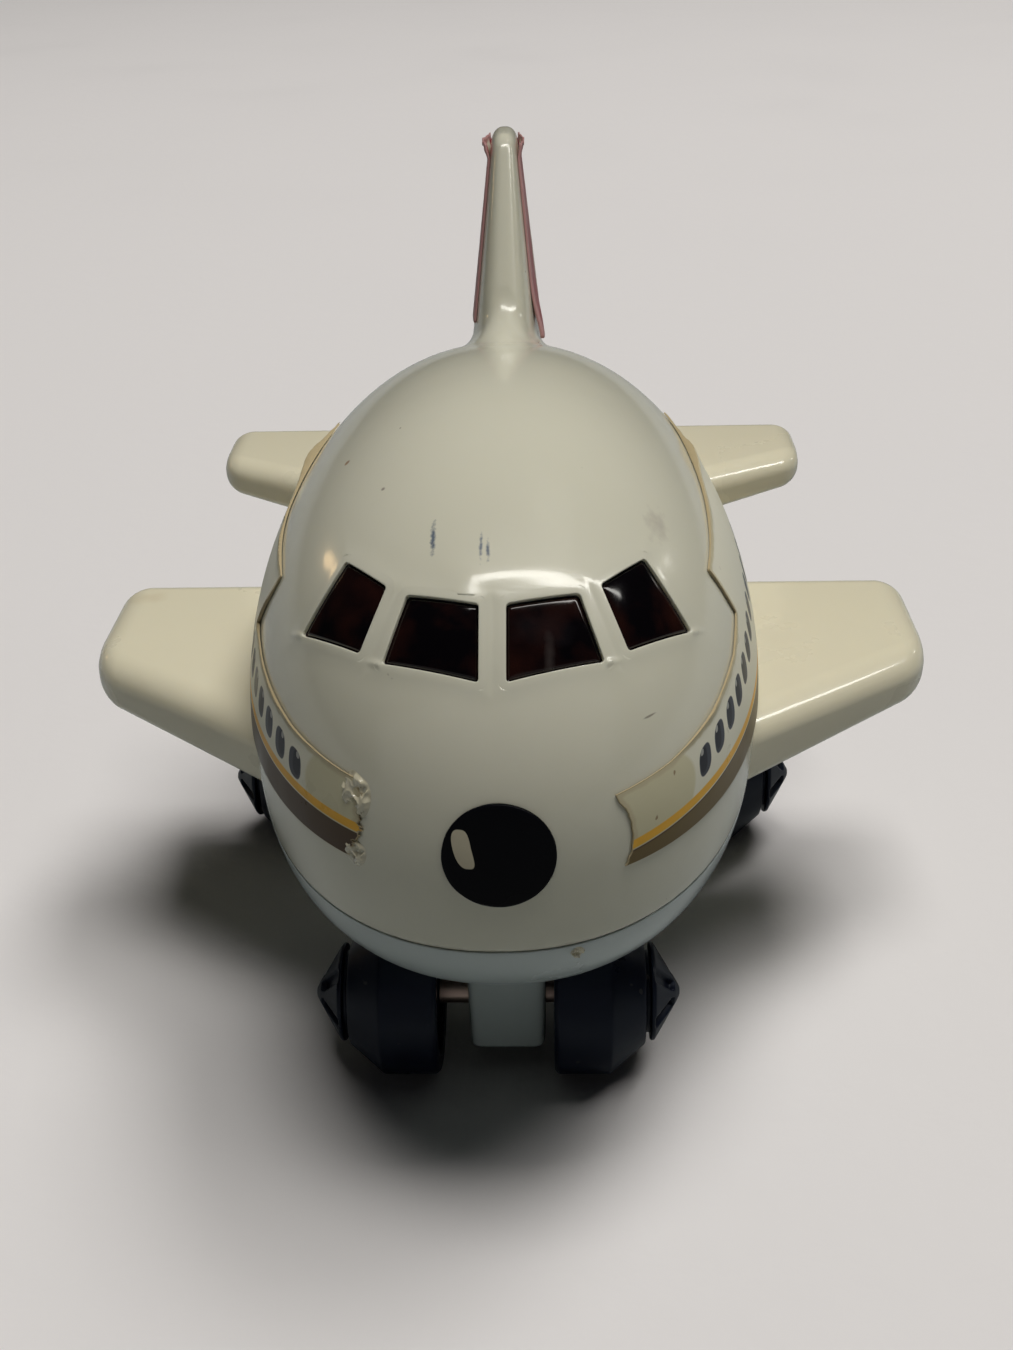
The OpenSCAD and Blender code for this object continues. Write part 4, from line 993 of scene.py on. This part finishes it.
for side_name, side in SIDES.items():
    side_vinyl = side_sticker_material(f"side_vinyl_{side_name}", STRIPES_LEFT_SHADED[side_name])
    *sheet, sheet_uv, sheet_fields = side_sticker_grid(side, **STICKERS[side_name])
    add_piece(f"side_sticker_{side_name}_vinyl", *sheet, side_vinyl, "vinyl",
              [f"side_sticker_{side_name}"], uv=sheet_uv, fields=sheet_fields)

# Glue and scraps
# Clear glue that dried in lumps where the left sticker tore off, and a scrap of flash left hanging at
# the seam on the right.
LUMPS = {
    # side, levels, angles in plan, height, where its waves start, slot
    "glue_upper": (-1, (34.9, 38.6), (-67.4, -58.6), 0.4, 31, "vinyl"),
    "glue_lower": (-1, (31.0, 33.7), (-66.0, -59.6), 0.26, 37, "vinyl"),
    "seam_flash": (1, (23.9, 25.2), (-76.2, -72.6), 0.3, 43, "shell_white"),
}


def lump_grid(side, levels, angles, height, start):
    """Patch of skin raised by a mound of crossing waves, whose border dips under the skin."""
    v, s = np.meshgrid(np.linspace(-1, 1, 110), np.linspace(-1, 1, 110), indexing="ij")
    z = np.mean(levels) - (levels[1] - levels[0]) / 2 * v
    a = np.mean(angles) + (angles[1] - angles[0]) / 2 * s
    waves = []
    for k in range(14):
        turn = start + 2.4 * k
        waves.append(np.cos(2.4 * k + (2.5 + 0.9 * k) * (s * math.cos(turn) + v * math.sin(turn))))
    reach = np.hypot(v, s) / (0.8 + 0.05 * sum(waves[:5]))
    rough = 1 - 0.45 * abs(sum(waves[:6])) / 1.6 - 0.35 * abs(sum(waves[6:])) / 1.8
    rise = height * (0.3 + 0.7 * rough) * ramp((1 - reach) / 0.3) - 0.05 * (reach >= 1)
    points = body_point(z, np.radians(a))
    return grid_mesh(points + body_normal(points) * rise[..., None], side, wrap=False)


dried_glue = moulded("dried_glue", (0.74, 0.70, 0.54), (0.56, 0.5, 0.33), (0.34, 0.26, 0.14), 0.12, coat=1.0,
                     bump=0.5, cloud=1100.0, limit=0.66)
for lump_name, (*shape, slot) in LUMPS.items():
    add_piece(lump_name, *lump_grid(*shape), dried_glue, slot)

# Fin stickers
# Red vinyl on both sides of the fin, plain but for one cream band. The top edge has come loose and
# curls away on both, and the right one also lifts at the foot of its front edge.
FIN_SHEET_H, FIN_SHEET_FRONT, FIN_SPAN = 15.0, 0.22, 50.0
# How far the top edge curls out, and how far the foot stands out and droops; seed is for the front edge
FIN_SHEETS = {
    "left": dict(curl=0.7, foot=0.0, droop=0.0, seed=22),
    "right": dict(curl=0.45, foot=0.6, droop=1.3, seed=21),
}


def fin_sticker_grid(side, curl, foot, droop, seed):
    """Sheet over the side of the fin, from its top down to a slanted foot, with a curled top edge.

    The foot of the front edge can stand out and droop."""
    columns = np.concatenate([[FIN_SHEET_FRONT], np.linspace(FIN_SHEET_FRONT, 0.94, 60)])
    down, along = np.meshgrid(np.linspace(0, 1, 70), columns, indexing="ij")
    z = FIN_TOP - FIN_ROUND - FIN_SHEET_H * down + 1.2 * down * (1 - along)
    z = z + 0.15 * ripple(along * 40, 3) * (down < 0.02)
    z = z - droop * ramp((down - 0.6) / 0.4) * ramp((0.5 - along) / 0.3)
    lead, half = fin_lead(z), fin_half(z)
    bulge = np.maximum(0, 1 - abs(2 * along - 1) ** 2.5) ** 0.35
    top_curl = curl * ramp((0.1 - down) / 0.1) * (0.75 + 0.25 * ripple(along * 12, 5))
    front_lift = (0.03 + 0.03 * ripple(down * 9, seed)) * ramp((0.34 - along) / 0.12)
    foot_lift = foot * ramp((down - 0.7) / 0.3) ** 2 * ramp((0.55 - along) / 0.35)
    x = half * bulge + STICKER_GAP + VINYL_T / 2 + top_curl + front_lift + foot_lift
    x[:, 0] = (half * bulge + 0.02 + top_curl + 0.8 * foot_lift)[:, 0]
    length = FIN_TRAIL - lead
    edge = np.minimum((along - FIN_SHEET_FRONT) * length, np.minimum(down, 1 - down) * FIN_SHEET_H)
    y = lead + length * along
    uv = np.stack([y - 20, z - 50], -1).reshape(-1, 2) / FIN_SPAN
    return *grid_mesh(np.stack([x, y, z], -1), side, wrap=False), uv, edge


def fin_sticker_material():
    """Red with a cream band that runs with the fin's front edge, and faded at its cut edges."""
    material = moulded("red_vinyl", (0.36, 0.05, 0.06), (0.28, 0.04, 0.045), (0.5, 0.3, 0.26), 0.35,
                       bump=0.04)
    along, up = uv_axes(material.node_tree, FIN_SPAN)
    band = 0.9 - abs(along - up * 0.6 - 0.2)
    paint(material, (band * 8).held(), (0.66, 0.61, 0.5))
    paint(material, edge_mask(material.node_tree, 0.6, 1.2), (0.47, 0.25, 0.24))
    return material


red_vinyl = fin_sticker_material()
for side_name, sizes in FIN_SHEETS.items():
    *sheet, sheet_uv, sheet_edge = fin_sticker_grid(SIDES[side_name], **sizes)
    piece = add_piece(f"fin_sticker_{side_name}_vinyl", *sheet, red_vinyl, "red_vinyl",
                      [f"fin_sticker_{side_name}"], uv=sheet_uv, fields=[("edge", sheet_edge)])
    thickness = piece.modifiers.new("thickness", "SOLIDIFY")
    thickness.thickness = 0.12 * MM
    thickness.offset = 0

# Wheels
# Navy-black plastic, one moulding each: a plain tread, a conical shoulder, a groove, and a pointed
# hub with pockets between its ribs. They are pressed on the steel axles.
WHEEL_R, TREAD_W, SHOULDER_W, GROOVE_W, HUB_R, HUB_H = 7.0, 4.8, 3.0, 0.45, 4.2, 2.65
BORE_R, BOSS_R, RIM_R, WEB_X, EDGE_R, TIP_R = 1.0, 2.6, 5.4, 3.0, 0.35, 1.0
SHOULDER_X, SHOULDER_R, GROOVE_R = TREAD_W + SHOULDER_W, HUB_R + 0.3, HUB_R - 0.7
HUB_X, TIP_X = SHOULDER_X + GROOVE_W, SHOULDER_X + GROOVE_W + HUB_H
RIBS, POCKET_HALF, POCKET_SINK = 6, 0.62, 0.7
# The axle's place along the toy, the wheels' inner faces from the middle, and the set's shift to the right
WHEELSETS = {
    "front": dict(axle_y=-19.0, face_x=4.9, shift=-0.9),
    "rear": dict(axle_y=15.0, face_x=18.4, shift=-0.4),
}


def rounded_profile(corners, radius):
    """Open line with rounded inner corners and points at most 0.6 mm apart."""
    corners = np.array(corners, float)
    line = [corners[0]]
    for before, here, after in zip(corners[:-2], corners[1:-1], corners[2:]):
        short = 0.45 * min(np.linalg.norm(before - here), np.linalg.norm(after - here))
        line += list(corner_curve(before, here, after, min(radius, short), 5))
    line.append(corners[-1])
    dense = [line[0]]
    for a, b in zip(line[:-1], line[1:]):
        n = max(1, int(np.linalg.norm(b - a) / 0.3))
        dense += list(a + (b - a) * (np.arange(1, n + 1) / n)[:, None])
    return np.array(dense)


def wheel_grid(side, axle_y, face_x, shift):
    """The profile turned round the axle; pockets are sunk between the ribs of the hub."""
    profile = rounded_profile(
        [(WEB_X, BORE_R), (WEB_X, BOSS_R), (0, BOSS_R), (0, BOSS_R + 0.15), (0, BOSS_R), (WEB_X, BOSS_R),
         (WEB_X, RIM_R), (0, RIM_R), (0, WHEEL_R - EDGE_R), (EDGE_R, WHEEL_R), (TREAD_W, WHEEL_R),
         (SHOULDER_X, SHOULDER_R), (SHOULDER_X, GROOVE_R), (HUB_X, GROOVE_R), (HUB_X, HUB_R),
         (HUB_X + EDGE_R, HUB_R), (TIP_X - EDGE_R, TIP_R), (TIP_X, EDGE_R), (TIP_X, 0.02)], 0.16)
    around = np.linspace(0, 2 * np.pi, 181)[:-1]
    x, a = np.meshgrid(profile[:, 0], around, indexing="ij")
    r = np.broadcast_to(profile[:, 1][:, None], x.shape)
    within = np.mod(a + math.pi / RIBS, 2 * math.pi / RIBS) - math.pi / RIBS
    inside = (POCKET_HALF - abs(within) * np.maximum(r, 0.6)) / 0.2
    pocket = ramp(inside) * ramp((x - HUB_X - 0.3) / 0.15) * ramp((TIP_X - 0.6 - x) / 0.15)
    sink = POCKET_SINK * pocket * (r > 0.9)
    out = face_x + side * shift
    x, r = out + x - 0.25 * sink, r - sink
    points = np.stack([x, axle_y + r * np.cos(a), WHEEL_R + r * np.sin(a)], -1)
    return grid_mesh(points, side, end=(out + TIP_X, axle_y, WHEEL_R))


wheel_black = moulded("wheel_plastic", (0.004, 0.0062, 0.017), (0.0065, 0.0095, 0.022), (0.04, 0.038, 0.04),
                      0.33, coat=0.03, specular=0.19, bump=0.05, cloud=200.0, limit=0.74)
shader_of(wheel_black)["Specular Tint"].default_value = (0.8, 0.88, 1.0, 1)
for set_name, sizes in WHEELSETS.items():
    for side_name, side in SIDES.items():
        add_piece(f"{set_name}_wheel_{side_name}_turned", *wheel_grid(side, **sizes), wheel_black,
                  "black_plastic", [f"{set_name}_wheel_{side_name}"], body=f"{set_name}_wheelset")

# Axles and friction motor
# Plain steel axles, and the motor that hangs through the hull: a grey case, nylon gears on steel
# shafts, a brass pinion and a zinc flywheel. Their CAD shapes are kept. The steel is tinted warm brown,
# a painted reflection of the brownish shade round the axles.
# Brown-tinted steel: a painted reflection of the brownish shade beneath the toy.
steel = moulded("axle_steel", (0.47, 0.36, 0.31), (0.36, 0.27, 0.23), (0.2, 0.1, 0.06), 0.32, metallic=1.0,
                bump=0.05)
zinc = moulded("cast_zinc", (0.5, 0.5, 0.52), (0.4, 0.4, 0.42), (0.2, 0.2, 0.2), 0.45, metallic=1.0,
               bump=0.15)
brass = moulded("pinion_brass", (0.72, 0.5, 0.2), (0.6, 0.4, 0.15), (0.3, 0.2, 0.1), 0.3, metallic=1.0,
                bump=0.05)
nylon = moulded("gear_nylon", (0.72, 0.69, 0.6), (0.66, 0.62, 0.52), (0.4, 0.35, 0.25), 0.4, bump=0.05)
case_grey = moulded("case_plastic", (0.085, 0.09, 0.1), (0.07, 0.074, 0.082), (0.2, 0.2, 0.2), 0.42, bump=0.2)
FINISHES = [
    (steel, ["front_axle", "rear_axle", "shaft_1", "shaft_2", "flywheel_shaft", "motor_screw_lower",
             "motor_screw_upper", "mount_screw", "hull_screw_front", "hull_screw_rear"]),
    (zinc, ["flywheel"]),
    (brass, ["flywheel_pinion"]),
    (nylon, ["drive_gear", "gear_cluster_1", "gear_cluster_2"]),
    (case_grey, ["motor_case_left", "motor_case_right"]),
]
for finish, nodes in FINISHES:
    for name in nodes:
        for material_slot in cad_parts[name].material_slots:
            material_slot.material = finish
